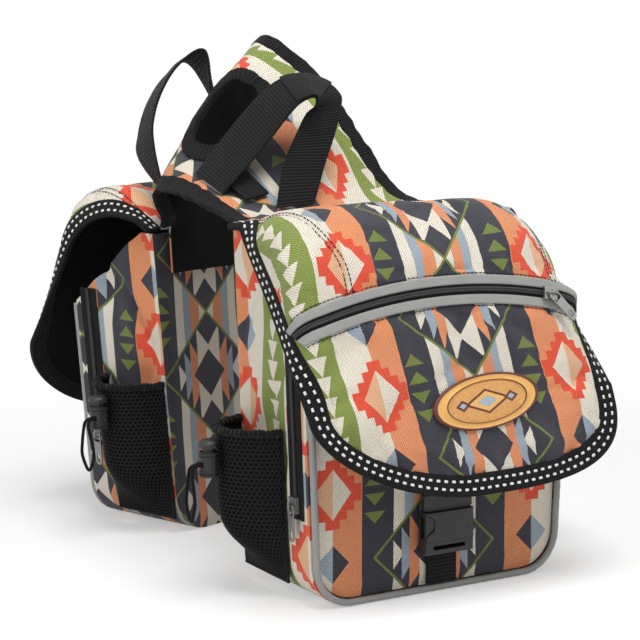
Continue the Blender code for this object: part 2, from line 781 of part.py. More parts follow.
def side_zip_frame(pouch):
    """Return the frame of the side zip's slider, with X up along the zip and Z out of it."""
    side = pouch.zip_side
    z = SIDE_SLIDER_Z
    place = Vector((side * (pouch.side_width(z) + GAP), SIDE_ZIP_Y, z))
    along = Vector((side * SIDE_FLARE, 0.0, 1.0)).normalized()
    across = Vector((0.0, -side, 0.0))
    out = along.cross(across)
    return Matrix.Translation(place) @ Matrix((along, across, out)).transposed().to_4x4()


def mesh_out(pouch, y, z):
    """Return how far a mesh pocket stands out of its side wall."""
    share = (y - MESH_FRONT_Y) / (MESH_BACK_Y - MESH_FRONT_Y)
    swell = max(math.sin(math.pi * share), 0.0) ** 0.6
    rise = smoothstep(MESH_LOW - 0.004, MESH_LOW + 0.045, z)
    return GAP + MESH_BULGE * swell * rise


def build_mesh_pocket(pouch, side, label):
    """Make one mesh side pocket: a swelling wall sewn to the gusset on three sides."""
    outer, inner = [], []
    rows, columns = 9, 13
    for row in range(rows):
        z = MESH_LOW + (MESH_HIGH - MESH_LOW) * row / (rows - 1)
        top, low = [], []
        for column in range(columns):
            y = MESH_FRONT_Y + (MESH_BACK_Y - MESH_FRONT_Y) * column / (columns - 1)
            out = mesh_out(pouch, y, z)
            top.append(pouch.side_point(side, y, z, out + MESH_THICK))
            low.append(pouch.side_point(side, y, z, out))
        outer.append(top)
        inner.append(low)
    pouch.add(label + "_mesh", sheet(outer, inner), "mesh")


def lock_frame(pouch, side):
    """Return the cord lock's frame: X out from the wall along the cord, Z up its barrel."""
    wall = pouch.side_point(side, CORD_Y, CORD_Z, mesh_out(pouch, CORD_Y, CORD_Z) + MESH_THICK)
    turn = Matrix.Rotation(0.0 if side > 0 else math.pi, 4, "Z")
    return Matrix.Translation(wall) @ turn


def build_cord_lock(pouch, side, label):
    """Make the barrel lock and its sprung button, both with a slot for two strands of cord."""
    frame = lock_frame(pouch, side)
    middle = LOCK_STANDOFF + BUTTON_RADIUS
    low, high = -LOCK_LENGTH / 2, LOCK_LENGTH / 2
    floor = low + LOCK_FLOOR
    rings = []
    for radius, z in ((LOCK_RADIUS, low), (LOCK_RADIUS, high), (LOCK_BORE, high), (LOCK_BORE, floor)):
        rings.append([frame @ Vector((x, y, z)) for x, y in circle(radius, 14, (middle, 0.0))])
    pivot = frame @ Vector((middle, 0.0, 0.0))
    lock = pouch.add(label + "_cord_lock", loft(rings), "plastic", pivot)
    slot_half = CORD_PITCH / 2 + CORD_DIAMETER / 2 + RUN_GAP
    slot_rise = CORD_DIAMETER / 2 + RUN_GAP
    cut_through(pouch, lock, frame, pivot, slot_half, -slot_rise, slot_rise)
    stem = LOCK_BORE - RUN_GAP
    stem_low = floor + RUN_GAP + BUTTON_TRAVEL
    head_low = high + RUN_GAP + BUTTON_TRAVEL
    rings = []
    for radius, z in ((stem, stem_low), (stem, head_low), (BUTTON_RADIUS, head_low),
                      (BUTTON_RADIUS, head_low + BUTTON_HEAD)):
        rings.append([frame @ Vector((x, y, z)) for x, y in circle(radius, 14, (middle, 0.0))])
    button = pouch.add(label + "_lock_button", loft(rings), "plastic", pivot)
    cut_through(pouch, button, frame, pivot, slot_half, -slot_rise, slot_rise + BUTTON_TRAVEL)


def cut_through(pouch, item, frame, pivot, half, low, high):
    """Cut the cord's slot through a lock piece."""
    reach = 4 * LOCK_RADIUS
    rings = [[frame @ Vector((x, y, z)) for y, z in box_ring((-half, low), (half, high))]
             for x in (-reach, reach)]
    combine(item, pouch.add("slot_tool", loft(rings), "plastic", pivot), "DIFFERENCE")


def cord_route(pouch, side):
    """Return the draw cord's smooth route: out through the lock, down round a loop and back."""
    frame = lock_frame(pouch, side)
    start = 2 * GAP
    strand = CORD_PITCH / 2
    bend = start + CORD_STRAIGHT
    out = bend + CORD_BEND
    near_half = [(start, strand, 0.0), (start + CORD_STRAIGHT * 0.5, strand, 0.0), (bend, strand, -0.0002),
                 (bend + CORD_BEND * 0.75, strand + 0.0003, -CORD_BEND * 0.35),
                 (out, strand + 0.0010, -CORD_BEND * 1.2), (out, CORD_LOOP_HALF * 0.85, -CORD_DROP * 0.45),
                 (out, CORD_LOOP_HALF, -CORD_DROP * 0.72)]
    far_half = [(x, -y, z) for x, y, z in reversed(near_half)]
    path = Trace(smooth_curve(near_half + [(out, 0.0, -CORD_DROP)] + far_half, 6))
    count = int(path.length / (CORD_DIAMETER * 1.9))
    return [frame @ path.at(path.length * step / count)[0] for step in range(count + 1)]


def build_draw_cord(pouch, side, label):
    """Make the draw cord of one mesh pocket as a round tube."""
    name = pouch.name + "_" + label + "_draw_cord"
    curve = bpy.data.curves.new(name, "CURVE")
    curve.dimensions = "3D"
    curve.bevel_depth = CORD_DIAMETER / 2
    curve.bevel_resolution = 2
    curve.use_fill_caps = True
    route = cord_route(pouch, side)
    spline = curve.splines.new("POLY")
    spline.points.add(len(route) - 1)
    for point, place in zip(spline.points, route):
        point.co = (*pouch.leaned(place), 1.0)
    item = bpy.data.objects.new(name, curve)
    bpy.context.collection.objects.link(item)
    item.parent = pouch.frame
    curve.materials.append(finish(name, *FINISHES["cord"]))


def slab(low, high):
    """Return the mesh of a box."""
    return loft([[Vector((x, y, z)) for x, y in box_ring(low[:2], high[:2])] for z in (low[2], high[2])])


def build_socket(pouch):
    """Make the buckle's socket and the webbing that holds it to the front panel."""
    front = -DEPTH / 2
    back = front - GAP
    face = back - WEB_THICK
    half = WEB_WIDTH / 2
    top = SOCKET_LOW + BUCKLE_BAR + SLOT_HEIGHT - RUN_GAP
    low = 2 * PIPING_RADIUS + 2 * GAP
    pouch.add("buckle_strap", slab((-half, face, low), (half, back, top)), "webbing")
    near = face - GAP
    far = near - SOCKET_THICK
    upper = SOCKET_LOW + SOCKET_LENGTH
    socket = pouch.add("buckle_socket", slab((-SOCKET_HALF, far, SOCKET_LOW), (SOCKET_HALF, near, upper)),
                       "plastic")
    wall = SOCKET_WALL
    cavity_low = SOCKET_LOW + 2 * BUCKLE_BAR + SLOT_HEIGHT
    cut_box(pouch, socket, (-SOCKET_HALF + wall, far + wall, cavity_low),
            (SOCKET_HALF - wall, near - wall, upper + wall))
    window_low = cavity_low + PLUG_SHOULDER * 0.2
    cut_box(pouch, socket, (-SOCKET_HALF - wall, far + 1.5 * wall, window_low),
            (SOCKET_HALF + wall, near - 1.5 * wall, upper - 2.5 * wall))
    slot_low = SOCKET_LOW + BUCKLE_BAR
    cut_box(pouch, socket, (-half - RUN_GAP, far - wall, slot_low), (half + RUN_GAP, near + wall,
                                                                   slot_low + SLOT_HEIGHT))


def cut_box(pouch, item, low, high, pivot=(0.0, 0.0, 0.0)):
    """Cut a box out of a piece that has the given pivot."""
    combine(item, pouch.add("box_tool", slab(low, high), "plastic", pivot), "DIFFERENCE")


def build_plug(pouch, base, y):
    """Make the buckle's plug with two prongs and a guide; base is the height of its shoulder."""
    wall = SOCKET_WALL + RUN_GAP
    half = SOCKET_HALF - wall
    near, far = y - wall, y - SOCKET_THICK + wall
    tip = base - PRONG_LENGTH
    step = PRONG_HALF * 2
    outline = [(-half, base), (-half, tip + step), (-half + step * 0.6, tip), (-half + step, tip),
               (-half + step, base - 0.003), (-step * 0.4, base - 0.003), (-step * 0.4, tip + step * 0.5),
               (step * 0.4, tip + step * 0.5), (step * 0.4, base - 0.003), (half - step, base - 0.003),
               (half - step, tip), (half - step * 0.6, tip), (half, tip + step), (half, base),
               (SOCKET_HALF, base + RUN_GAP), (SOCKET_HALF, base + PLUG_SHOULDER),
               (-SOCKET_HALF, base + PLUG_SHOULDER), (-SOCKET_HALF, base + RUN_GAP)]
    rings = [[Vector((x, place, z)) for x, z in outline] for place in (far, near)]
    plug = pouch.add("buckle_plug", loft(rings), "plastic", (0.0, y, base))
    web = WEB_WIDTH / 2 + RUN_GAP
    cut_box(pouch, plug, (-web, plug_middle(y) - WEB_THICK / 2 - RUN_GAP, base + BUCKLE_BAR),
            (web, near + wall, base + PLUG_SHOULDER + wall), (0.0, y, base))


def plug_middle(y):
    """Return where the webbing's middle lies in the plug's recess."""
    return y - SOCKET_THICK / 2


def web_sheet(line):
    """Return the mesh of the narrow webbing along a line of (y, z) points."""
    half = WEB_WIDTH / 2
    outer, inner = [], []
    for index, here in enumerate(line):
        before, after = line[max(index - 1, 0)], line[min(index + 1, len(line) - 1)]
        along = (after - before).normalized()
        across = Vector((-along.y, along.x)) * (WEB_THICK / 2)
        for rows, place in ((outer, here - across), (inner, here + across)):
            rows.append([Vector((x, place.x, place.y)) for x in (-half, half)])
    return sheet(inner, outer)


def buckle_face():
    """Return the y of the buckle's back face."""
    return -DEPTH / 2 - GAP - WEB_THICK - GAP


def inner_flap_line(flap, z, clear):
    """Return the (y, z) point a clearance inside the flap's front face."""
    toe, down = flap.line.at(flap.line.length)
    centre, along = flap.line.at(flap.line.length - (z - toe.y) / abs(down.y))
    return centre - Vector((along.y, -along.x)) * (FLAP_EDGE_THICK / 2 + clear)


def build_near_buckle(pouch):
    """Make the closed buckle of the near pouch."""
    build_socket(pouch)
    y = buckle_face()
    base = SOCKET_LOW + SOCKET_LENGTH + RUN_GAP
    build_plug(pouch, base, y)
    start = (plug_middle(y), base + BUCKLE_BAR + RUN_GAP)
    above = (start[0], base + PLUG_SHOULDER + 2 * RUN_GAP)
    slope = pouch.flap.line.at(pouch.flap.line.length)[1]
    clear = WEB_THICK / 2 + GAP + RELEASE_TRAVEL * abs(slope.x) + FLAP_STRAP_SLACK
    low, high = (inner_flap_line(pouch.flap, z, clear) for z in (FLAP_STRAP_LOW, FLAP_STRAP_TOP))
    pouch.add("flap_strap", web_sheet(smooth_curve([start, above, low, high], 4)), "webbing", (0.0, y, base))


def build_far_buckle(pouch):
    """Make the open buckle of the far pouch: the socket on its panel, the plug hanging inside the flap."""
    build_socket(pouch)
    flap = pouch.flap
    out = -FLAP_EDGE_THICK / 2 - GAP - WEB_THICK / 2
    ends = [flap.point(0.0, flap.line.length - back, out - (FAR_STRAP_TOP - back) * FAR_STRAP_PEEL)
            for back in (FAR_STRAP_TOP, 0.054, 0.042)]
    high, middle, low = (Vector((end.y, end.z)) for end in ends)
    loose = Vector((low.x + 0.0030, low.y - FAR_STRAP_HANG * 0.4))
    hang = Vector((low.x + 0.0075, low.y - FAR_STRAP_HANG))
    bar = Vector((hang.x, hang.y - PLUG_SHOULDER))
    y = bar.x + SOCKET_THICK / 2
    base = bar.y - BUCKLE_BAR - RUN_GAP
    build_plug(pouch, base, y)
    line = smooth_curve([high, middle, low, loose, hang, bar], 4)
    pouch.add("flap_strap", web_sheet(line), "webbing")


def build_badge(pouch):
    """Make the plain oval badge on the flap."""
    flap = pouch.flap
    rings = []
    base = FLAP_EDGE_THICK / 2 + FLAP_PAD + GAP
    for shrink, out in ((1.0, base), (1.0, base + BADGE_THICK * 0.6), (0.95, base + BADGE_THICK)):
        ring = []
        for c, d in circle(1.0, 28):
            x, up = BADGE_HALF[0] * c * shrink, BADGE_HALF[1] * d * shrink
            turned = (x * math.cos(BADGE_TILT) - up * math.sin(BADGE_TILT),
                      x * math.sin(BADGE_TILT) + up * math.cos(BADGE_TILT))
            ring.append(flap.point(BADGE_X + turned[0], flap.badge_centre - turned[1], out))
        rings.append(ring)
    pouch.add("badge", loft(rings), "badge")


def build_pouch(pouch):
    """Make every piece that both pouches have."""
    build_body(pouch)
    build_flap(pouch)
    build_flap_binding(pouch)
    build_flap_zip(pouch)
    build_side_zip(pouch)
    for side, label in ((-1, "left"), (1, "right")):
        build_mesh_pocket(pouch, side, label)
        build_cord_lock(pouch, side, label)
        build_draw_cord(pouch, side, label)


class Rail:
    """A line of equal steps between knots, read by a share of its steps."""

    def __init__(self, points):
        self.points = [Vector(point) for point in points]

    def at(self, share):
        """Return the point at a share, going straight on past either end."""
        place = share * (len(self.points) - 1)
        index = min(max(int(place), 0), len(self.points) - 2)
        return self.points[index].lerp(self.points[index + 1], place - index)


class Yoke:
    """The yoke's middle surface, read by u from its low edge to its high edge and s from near to far."""

    def __init__(self, near, far):
        back = DEPTH / 2 + GAP + YOKE_COVER_THICK + GAP / 2
        half = YOKE_FOOT_HALF
        self.low = self.rail(near.world((-half, back, near.height - YOKE_FOOT_DROP)),
                             [near.world((-half, back, near.height)), (-0.1030, 0.0660, 0.2520),
                              (-0.1020, 0.1000, 0.2570), (-0.1020, 0.1400, 0.2625),
                              (-0.1040, 0.1680, 0.2635), (-0.1030, 0.1820, 0.2580),
                              far.world((half, back + 0.003, far.height + 0.012)),
                              far.world((half, back, far.height))],
                             far.world((half, back, far.height - YOKE_FOOT_DROP)))
        self.high = self.rail(near.world((half, back, near.height - YOKE_FOOT_DROP)),
                              [near.world((half, back, near.height)), (0.0680, 0.1020, 0.2570),
                               (0.0490, 0.1350, 0.3000), (0.0360, 0.1700, 0.3430),
                               (0.0100, 0.2060, 0.3760), (0.0200, 0.2340, 0.3620),
                               (0.0600, 0.2500, 0.3000), far.world((-half, back, far.height))],
                              far.world((-half, back, far.height - YOKE_FOOT_DROP)))

    def rail(self, start, knots, end):
        """Return one edge of the yoke, from the foot on one pouch to the foot on the other."""
        steps = YOKE_FOOT_STEPS
        start, end = Vector(start), Vector(end)
        first, last = Vector(knots[0]), Vector(knots[-1])
        foot_in = [start.lerp(first, step / steps) for step in range(steps)]
        foot_out = [last.lerp(end, step / steps) for step in range(1, steps + 1)]
        return Rail(foot_in + smooth_curve(knots, steps, start, end) + foot_out)

    def middle(self, u, s):
        """Return a point of the middle surface."""
        low, high = self.low.at(s), self.high.at(s)
        swell = YOKE_LIFT * 4 * u * (1 - u) * smoothstep(0.25, 0.5, s) * (1 - smoothstep(0.6, 0.8, s))
        return low.lerp(high, u) + Vector((-0.4, 0.0, 0.9)) * swell

    def point(self, u, s, out=0.0):
        """Return a point moved out along the surface's normal."""
        step = 0.012
        across = self.middle(u + step, s) - self.middle(u - step, s)
        along = self.middle(u, s + step) - self.middle(u, s - step)
        normal = across.cross(along).normalized()
        return self.middle(u, s) + normal * out

    def width(self, s):
        """Return the distance between the yoke's two edges."""
        return (self.high.at(s) - self.low.at(s)).length

    def length(self, u):
        """Return the distance over the yoke from foot to foot."""
        stops = [self.middle(u, step / 40) for step in range(41)]
        return sum((there - here).length for here, there in zip(stops, stops[1:]))


def horn_hole(yoke, angle, grow):
    """Return the horn hole's edge at an angle, as (u, s), grown by a distance."""
    c, d = math.cos(angle), math.sin(angle)
    power = 2 / HORN_HOLE_POWER
    across = HORN_HOLE_HALF[0] + grow / yoke.width(HORN_HOLE_CENTRE[1])
    along = HORN_HOLE_HALF[1] + grow / yoke.length(HORN_HOLE_CENTRE[0])
    return (HORN_HOLE_CENTRE[0] + across * math.copysign(abs(c) ** power, c),
            HORN_HOLE_CENTRE[1] + along * math.copysign(abs(d) ** power, d))


def yoke_stops(first, last):
    """Return the shares along the yoke of every grid row from one step to another."""
    return [step / YOKE_STEPS for step in range(first, last + 1, YOKE_STRIDE)]


def build_yoke_layer(yoke, name, low, high, finish_name):
    """Make one layer of the yoke with the horn hole cut through it."""
    inner, outer = [], []
    inset = YOKE_TAPE_WIDTH + EDGE_GAP
    for s in yoke_stops(0, YOKE_STEPS):
        edge = inset / yoke.width(s)
        across = [edge + (1 - 2 * edge) * column / YOKE_COLUMNS for column in range(YOKE_COLUMNS + 1)]
        inner.append([yoke.point(u, s, low) for u in across])
        outer.append([yoke.point(u, s, high) for u in across])
    layer = add_object(name, sheet(outer, inner), finish_name)
    hole = YOKE_TAPE_WIDTH + HOLE_GAP
    rings = [[yoke.point(*horn_hole(yoke, angle, hole), out) for angle in hole_angles()]
             for out in (-HOLE_TOOL_REACH, HOLE_TOOL_REACH)]
    combine(layer, add_object("hole_tool", loft(rings), finish_name), "DIFFERENCE")


def hole_angles():
    """Return the angles of the corners of the horn hole's edge."""
    return [2 * math.pi * turn / HOLE_SIDES for turn in range(HOLE_SIDES)]


def build_yoke_bindings(yoke):
    """Make the tapes folded round the yoke's two side edges and round the horn hole."""
    lift = (YOKE_COVER_THICK - YOKE_LINING_THICK) / 2

    def place(u, s, out):
        return yoke.point(u, s, out + lift)

    stops = yoke_stops(YOKE_FOOT_STEPS, YOKE_STEPS - YOKE_FOOT_STEPS - YOKE_STRIDE)
    for name, u, sign in (("yoke_low_binding", 0.0, 1), ("yoke_high_binding", 1.0, -1)):
        outer_edge = [(u, s) for s in stops]
        inner_edge = [(u + sign * YOKE_TAPE_WIDTH / yoke.width(s), s) for s in stops]
        add_object(name, tape_rings(place, outer_edge, inner_edge, YOKE_TAPE_WIDTH, YOKE_TAPE_THICK, False),
                   "webbing")
    outer_edge = [horn_hole(yoke, angle, 0.0) for angle in hole_angles()]
    inner_edge = [horn_hole(yoke, angle, YOKE_TAPE_WIDTH) for angle in hole_angles()]
    add_object("horn_hole_binding", tape_rings(place, outer_edge, inner_edge, YOKE_TAPE_WIDTH,
                                               YOKE_TAPE_THICK, True), "webbing")


def strap_mesh(left, right, low, high, first=0, last=None):
    """Return a flat strap ruled between two smooth edges, from one row of its line to another."""
    left_line, right_line = smooth_curve(left, 4), smooth_curve(right, 4)
    centres = [(a + b) / 2 for a, b in zip(left_line, right_line)]
    front, back = [], []
    for index, (here, there) in enumerate(zip(left_line, right_line)):
        before, after = centres[max(index - 1, 0)], centres[min(index + 1, len(centres) - 1)]
        normal = (there - here).cross(after - before).normalized()
        for rows, height in ((front, high), (back, low)):
            rows.append([here.lerp(there, share) + normal * height for share in (0.0, 0.5, 1.0)])
    return sheet(front[first:last], back[first:last])


def build_grab_straps(yoke):
    """Make the two webbing loops on the yoke and the soft patch on the near one."""
    half = STRAP_THICK / 2
    foot = YOKE_COVER_THICK + 2 * GAP + half
    left = [yoke.point(0.120, 0.445, foot), (-0.0560, 0.1350, 0.3190), (-0.0310, 0.1300, 0.3430),
            (-0.0110, 0.1250, 0.3490), (0.0080, 0.1200, 0.3440), (0.0150, 0.1120, 0.3360),
            (0.0140, 0.1070, 0.3280), (0.0050, 0.1000, 0.3090), (-0.0090, 0.0920, 0.2850),
            yoke.point(0.455, 0.222, foot + half)]
    right = [yoke.point(0.105, 0.335, foot), (-0.0540, 0.1000, 0.3000), (-0.0320, 0.0960, 0.3260),
             (-0.0220, 0.0930, 0.3330), (-0.0160, 0.0930, 0.3330), (-0.0140, 0.0980, 0.3270),
             (-0.0200, 0.1010, 0.3210), (-0.0300, 0.0980, 0.3070), (-0.0450, 0.0900, 0.2860),
             yoke.point(0.250, 0.222, foot + half)]
    add_object("near_strap", strap_mesh(left, right, -half, half), "webbing")
    patch = strap_mesh(left, right, half + GAP, half + GAP + PATCH_THICK, 9, 18)
    add_object("near_strap_patch", patch, "mesh")
    side = Vector((-0.3, -0.9, 0.3)).normalized() * (STRAP_WIDTH / 2)
    loop = [Vector(point) for point in ((-0.0890, 0.2240, 0.2880), (-0.0850, 0.2340, 0.3070),
                                        (-0.0750, 0.2390, 0.3300), (-0.0590, 0.2400, 0.3510),
                                        (-0.0390, 0.2360, 0.3610))]
    foot += FAR_FOOT_LIFT
    left = [yoke.point(0.100, 0.670, foot)] + [point + side for point in loop]
    right = [yoke.point(0.110, 0.760, foot)] + [point - side for point in loop]
    left.append(yoke.point(0.600, 0.640, foot + half))
    right.append(yoke.point(0.620, 0.730, foot + half))
    add_object("far_strap", strap_mesh(left, right, -half, half), "webbing")
    build_webbing_tail(yoke)


def build_webbing_tail(yoke):
    """Make the short webbing end that lies on the yoke beside the near strap."""
    low = YOKE_COVER_THICK + GAP + TAIL_LIFT
    front, back = [], []
    for row in range(4):
        u = 0.17 + 0.13 * row / 3
        front.append([yoke.point(u, 0.285 + 0.11 * column / 3, low + STRAP_THICK) for column in range(4)])
        back.append([yoke.point(u, 0.285 + 0.11 * column / 3, low) for column in range(4)])
    add_object("near_strap_tail", sheet(front, back), "webbing")


def clear_scene():
    """Remove whatever the scene starts with."""
    for item in list(bpy.data.objects):
        bpy.data.objects.remove(item)


def main():
    """Build the whole bag."""
    clear_scene()
    near_flap = Flap(NEAR_HEIGHT, NEAR_SHOULDER_RISE, NEAR_TOE_DROP, -1, NEAR_SKIRT_SHARE, 0.0)
    far_flap = Flap(FAR_HEIGHT, FAR_SHOULDER_RISE, FAR_TOE_DROP, 1, FAR_SKIRT_SHARE, FAR_FLAP_OPEN)
    near = Pouch("near", NEAR_HEIGHT, NEAR_FRONT_DROP, (0.0, 0.0), 0.0, 0.0, -1, near_flap)
    far = Pouch("far", FAR_HEIGHT, FAR_FRONT_DROP, FAR_CENTRE, FAR_TURN, FAR_LEAN, 1, far_flap)
    build_pouch(near)
    build_pouch(far)
    build_near_buckle(near)
    build_far_buckle(far)
    build_badge(near)
    yoke = Yoke(near, far)
    inner = YOKE_LAYER_GAP / 2
    build_yoke_layer(yoke, "yoke_cover", inner, inner + YOKE_COVER_THICK, "print")
    build_yoke_layer(yoke, "yoke_lining", -inner - YOKE_LINING_THICK, -inner, "lining")
    build_yoke_bindings(yoke)
    build_grab_straps(yoke)


main()
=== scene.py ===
"""Dress the pommel bag: printed cloth, net, webbing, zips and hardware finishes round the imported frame.

Metres in the part's own frame: +X along the near pouch's front, +Y from the near pouch to the far one,
+Z up, and the origin at the centre of the near pouch's base.
"""
import logging
import math
from collections.abc import Callable, Sequence
from dataclasses import dataclass, field
from enum import Enum
from typing import TypeVar

import bmesh
import bpy
from mathutils import Matrix, Vector, noise


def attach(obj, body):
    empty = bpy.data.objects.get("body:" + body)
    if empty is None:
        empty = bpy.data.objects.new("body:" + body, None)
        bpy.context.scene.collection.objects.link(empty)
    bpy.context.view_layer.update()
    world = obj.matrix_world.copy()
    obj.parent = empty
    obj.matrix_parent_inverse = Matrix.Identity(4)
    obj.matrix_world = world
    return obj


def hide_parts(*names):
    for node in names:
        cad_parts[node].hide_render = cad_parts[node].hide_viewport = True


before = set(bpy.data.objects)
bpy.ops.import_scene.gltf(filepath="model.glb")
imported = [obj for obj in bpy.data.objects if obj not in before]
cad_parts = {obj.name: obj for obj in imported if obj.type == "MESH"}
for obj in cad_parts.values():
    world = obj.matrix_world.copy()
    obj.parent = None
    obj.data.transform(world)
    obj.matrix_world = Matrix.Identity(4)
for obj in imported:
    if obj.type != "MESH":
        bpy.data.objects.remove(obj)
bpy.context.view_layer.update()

LOG = logging.getLogger("pommel_bag")
Pair = tuple[float, float]
Rows = list[list[Vector]]
Rgb = tuple[float, float, float]
Station = tuple[Vector, Vector, Vector]
Item = TypeVar("Item")

GAP = 0.0003
DEPTH = 0.095
WALL = 0.002
NEAR_HEIGHT = 0.2465
FAR_HEIGHT = 0.2305


def smoothstep(low: float, high: float, value: float) -> float:
    """Return 0 below low, 1 above high and a smooth rise between them."""
    share = min(max((value - low) / (high - low), 0.0), 1.0)
    return share * share * (3 - 2 * share)


def spread(low: float, high: float, steps: int) -> list[float]:
    """Return evenly spaced numbers from low to high."""
    return [low + (high - low) * step / steps for step in range(steps + 1)]


def wander(place: Vector, size: float, seed: float = 0.0) -> float:
    """Return a smooth value from -1 to 1 that changes over a length of size."""
    return noise.noise(place / size + Vector((seed, -seed, 2 * seed)))


def crease(place: Vector, size: float, seed: float = 0.0) -> float:
    """Return 0 on broad swells and up to 1 along narrow folds between them."""
    return (1 - min(abs(wander(place, size, seed)) * 2.2, 1.0)) ** 2


def rounded_path(corners: Sequence, radii: Sequence[float], steps: int) -> list[Vector]:
    """Return a line through corners with arcs at the inner ones.

    Args:
        corners: The line's corners.
        radii: One arc radius for each inner corner.
        steps: Steps in each arc.
    Returns:
        The line's points.
    """
    points = [Vector(corners[0])]
    for before, corner, after, radius in zip(corners, corners[1:], corners[2:], radii):
        corner = Vector(corner)
        back = (Vector(before) - corner).normalized()
        ahead = (Vector(after) - corner).normalized()
        half = back.angle(ahead) / 2
        run = radius / math.tan(half)
        centre = corner + (back + ahead).normalized() * (radius / math.sin(half))
        start, end = corner + back * run, corner + ahead * run
        turn = math.pi - 2 * half
        for step in range(steps + 1):
            share = step / steps
            first = math.sin((1 - share) * turn) / math.sin(turn)
            second = math.sin(share * turn) / math.sin(turn)
            points.append(centre + (start - centre) * first + (end - centre) * second)
    points.append(Vector(corners[-1]))
    return points


def smooth_curve(knots: Sequence, steps: int, lead_in: Sequence | None = None,
                 lead_out: Sequence | None = None) -> list[Vector]:
    """Return points of a smooth curve through knots.

    Args:
        knots: Points that the curve passes through.
        steps: Steps between two knots.
        lead_in: A point before the first knot that aims the curve.
        lead_out: A point after the last knot that aims the curve.
    Returns:
        The curve's points.
    """
    knots = [Vector(knot) for knot in knots]
    before = Vector(lead_in) if lead_in else knots[0] * 2 - knots[1]
    after = Vector(lead_out) if lead_out else knots[-1] * 2 - knots[-2]
    padded = [before] + knots + [after]
    points = []
    for a, b, c, d in zip(padded, padded[1:], padded[2:], padded[3:]):
        for step in range(steps):
            t = step / steps
            points.append((b * 2 + (c - a) * t + (a * 2 - b * 5 + c * 4 - d) * t ** 2
                           + (b * 3 - a - c * 3 + d) * t ** 3) / 2)
    points.append(knots[-1])
    return points


class Trace:
    """A line read by its own length."""

    def __init__(self, points: Sequence) -> None:
        """Measure the line through points.

        Args:
            points: The line's points.
        """
        self.points = [Vector(point) for point in points]
        self.stops = [0.0]
        for here, there in zip(self.points, self.points[1:]):
            self.stops.append(self.stops[-1] + (there - here).length)
        self.length = self.stops[-1]

    def at(self, distance: float) -> tuple[Vector, Vector]:
        """Return the point and the unit direction at a distance, going straight on past either end.

        Args:
            distance: The distance from the line's start.
        Returns:
            The point and the direction.
        """
        index = 0
        while index < len(self.points) - 2 and self.stops[index + 1] < distance:
            index += 1
        step = self.points[index + 1] - self.points[index]
        share = (distance - self.stops[index]) / step.length
        return self.points[index] + step * share, step.normalized()

    def evenly(self, pitch: float) -> list[Vector]:
        """Return points along the whole line about a pitch apart."""
        count = max(round(self.length / pitch), 2)
        return [self.at(self.length * step / count)[0] for step in range(count + 1)]


def circle(radius: float, sides: int) -> list[Pair]:
    """Return the 2D points of a circle."""
    turns = [2 * math.pi * side / sides for side in range(sides)]
    return [(radius * math.cos(turn), radius * math.sin(turn)) for turn in turns]


@dataclass
class Skin:
    """Points, faces and cloth coordinates of one mesh in the making."""

    points: list[Vector] = field(default_factory=list)
    faces: list[tuple[int, ...]] = field(default_factory=list)
    cloth: list[Rgb] = field(default_factory=list)

    def thick(self, outer: list[Vector], inner: list[Vector], faces: list[tuple[int, ...]],
              cloth: list[Rgb]) -> "Skin":
        """Add a closed solid between two like sheets.

        Args:
            outer: Points of the outer sheet.
            inner: Points of the inner sheet.
            faces: Faces of both sheets.
            cloth: Cloth coordinates of both sheets.
        Returns:
            This skin.
        """
        start = len(self.points)
        size = len(outer)
        self.points += outer + inner
        self.cloth += cloth + cloth
        seen: dict[tuple[int, int], tuple[int, int]] = {}
        for face in faces:
            self.faces.append(tuple(start + index for index in face))
            self.faces.append(tuple(start + size + index for index in reversed(face)))
            for here, there in zip(face, face[1:] + face[:1]):
                key = (min(here, there), max(here, there))
                if key in seen:
                    seen[key] = (-1, -1)
                else:
                    seen[key] = (here, there)
        for here, there in seen.values():
            if here >= 0:
                self.faces.append((start + there, start + here, start + size + here, start + size + there))
        return self

    def sheet(self, outer: Rows, inner: Rows, cloth: list[list[Rgb]]) -> "Skin":
        """Add a closed solid between two grids of points and return this skin.

        Args:
            outer: The outer grid.
            inner: The inner grid.
            cloth: The cloth coordinates of both grids.
        Returns:
            This skin.
        """
        width = len(outer[0])
        faces = []
        for row in range(len(outer) - 1):
            for column in range(width - 1):
                here = row * width + column
                faces.append((here, here + 1, here + width + 1, here + width))
        return self.thick(flat(outer), flat(inner), faces, flat(cloth))

    def loft(self, rings: Rows, closed: bool = False, cloth: list[list[Rgb]] | None = None) -> "Skin":
        """Add a solid through closed rings.

        Args:
            rings: Rings of points, all of one size.
            closed: Whether the last ring joins the first.
            cloth: Cloth coordinates, or none to measure them round and along.
        Returns:
            This skin.
        """
        start, size = len(self.points), len(rings[0])
        self.points += flat(rings)
        self.cloth += flat(cloth or measured(rings))
        spans = len(rings) if closed else len(rings) - 1
        for span in range(spans):
            here, there = start + span * size, start + (span + 1) % len(rings) * size
            for index in range(size):
                after = (index + 1) % size
                self.faces.append((here + index, here + after, there + after, there + index))
        if not closed:
            self.faces.append(tuple(start + index for index in reversed(range(size))))
            self.faces.append(tuple(start + (len(rings) - 1) * size + index for index in range(size)))
        return self


def flat(rows: list) -> list:
    """Return rows of items as one list."""
    return [item for row in rows for item in row]


def measured(rings: Rows) -> list[list[Rgb]]:
    """Return cloth coordinates of rings: x round each ring and y along their centres.

    Args:
        rings: Rings of points, all of one size.
    Returns:
        One row of cloth coordinates for each ring.
    """
    cloth, along, before = [], 0.0, None
    for ring in rings:
        centre = sum(ring, Vector()) / len(ring)
        along += (centre - before).length if before else 0.0
        before = centre
        around, row = 0.0, []
        for index, point in enumerate(ring):
            around += (point - ring[index - 1]).length if index else 0.0
            row.append((around, along, 0.0))
        cloth.append(row)
    return cloth


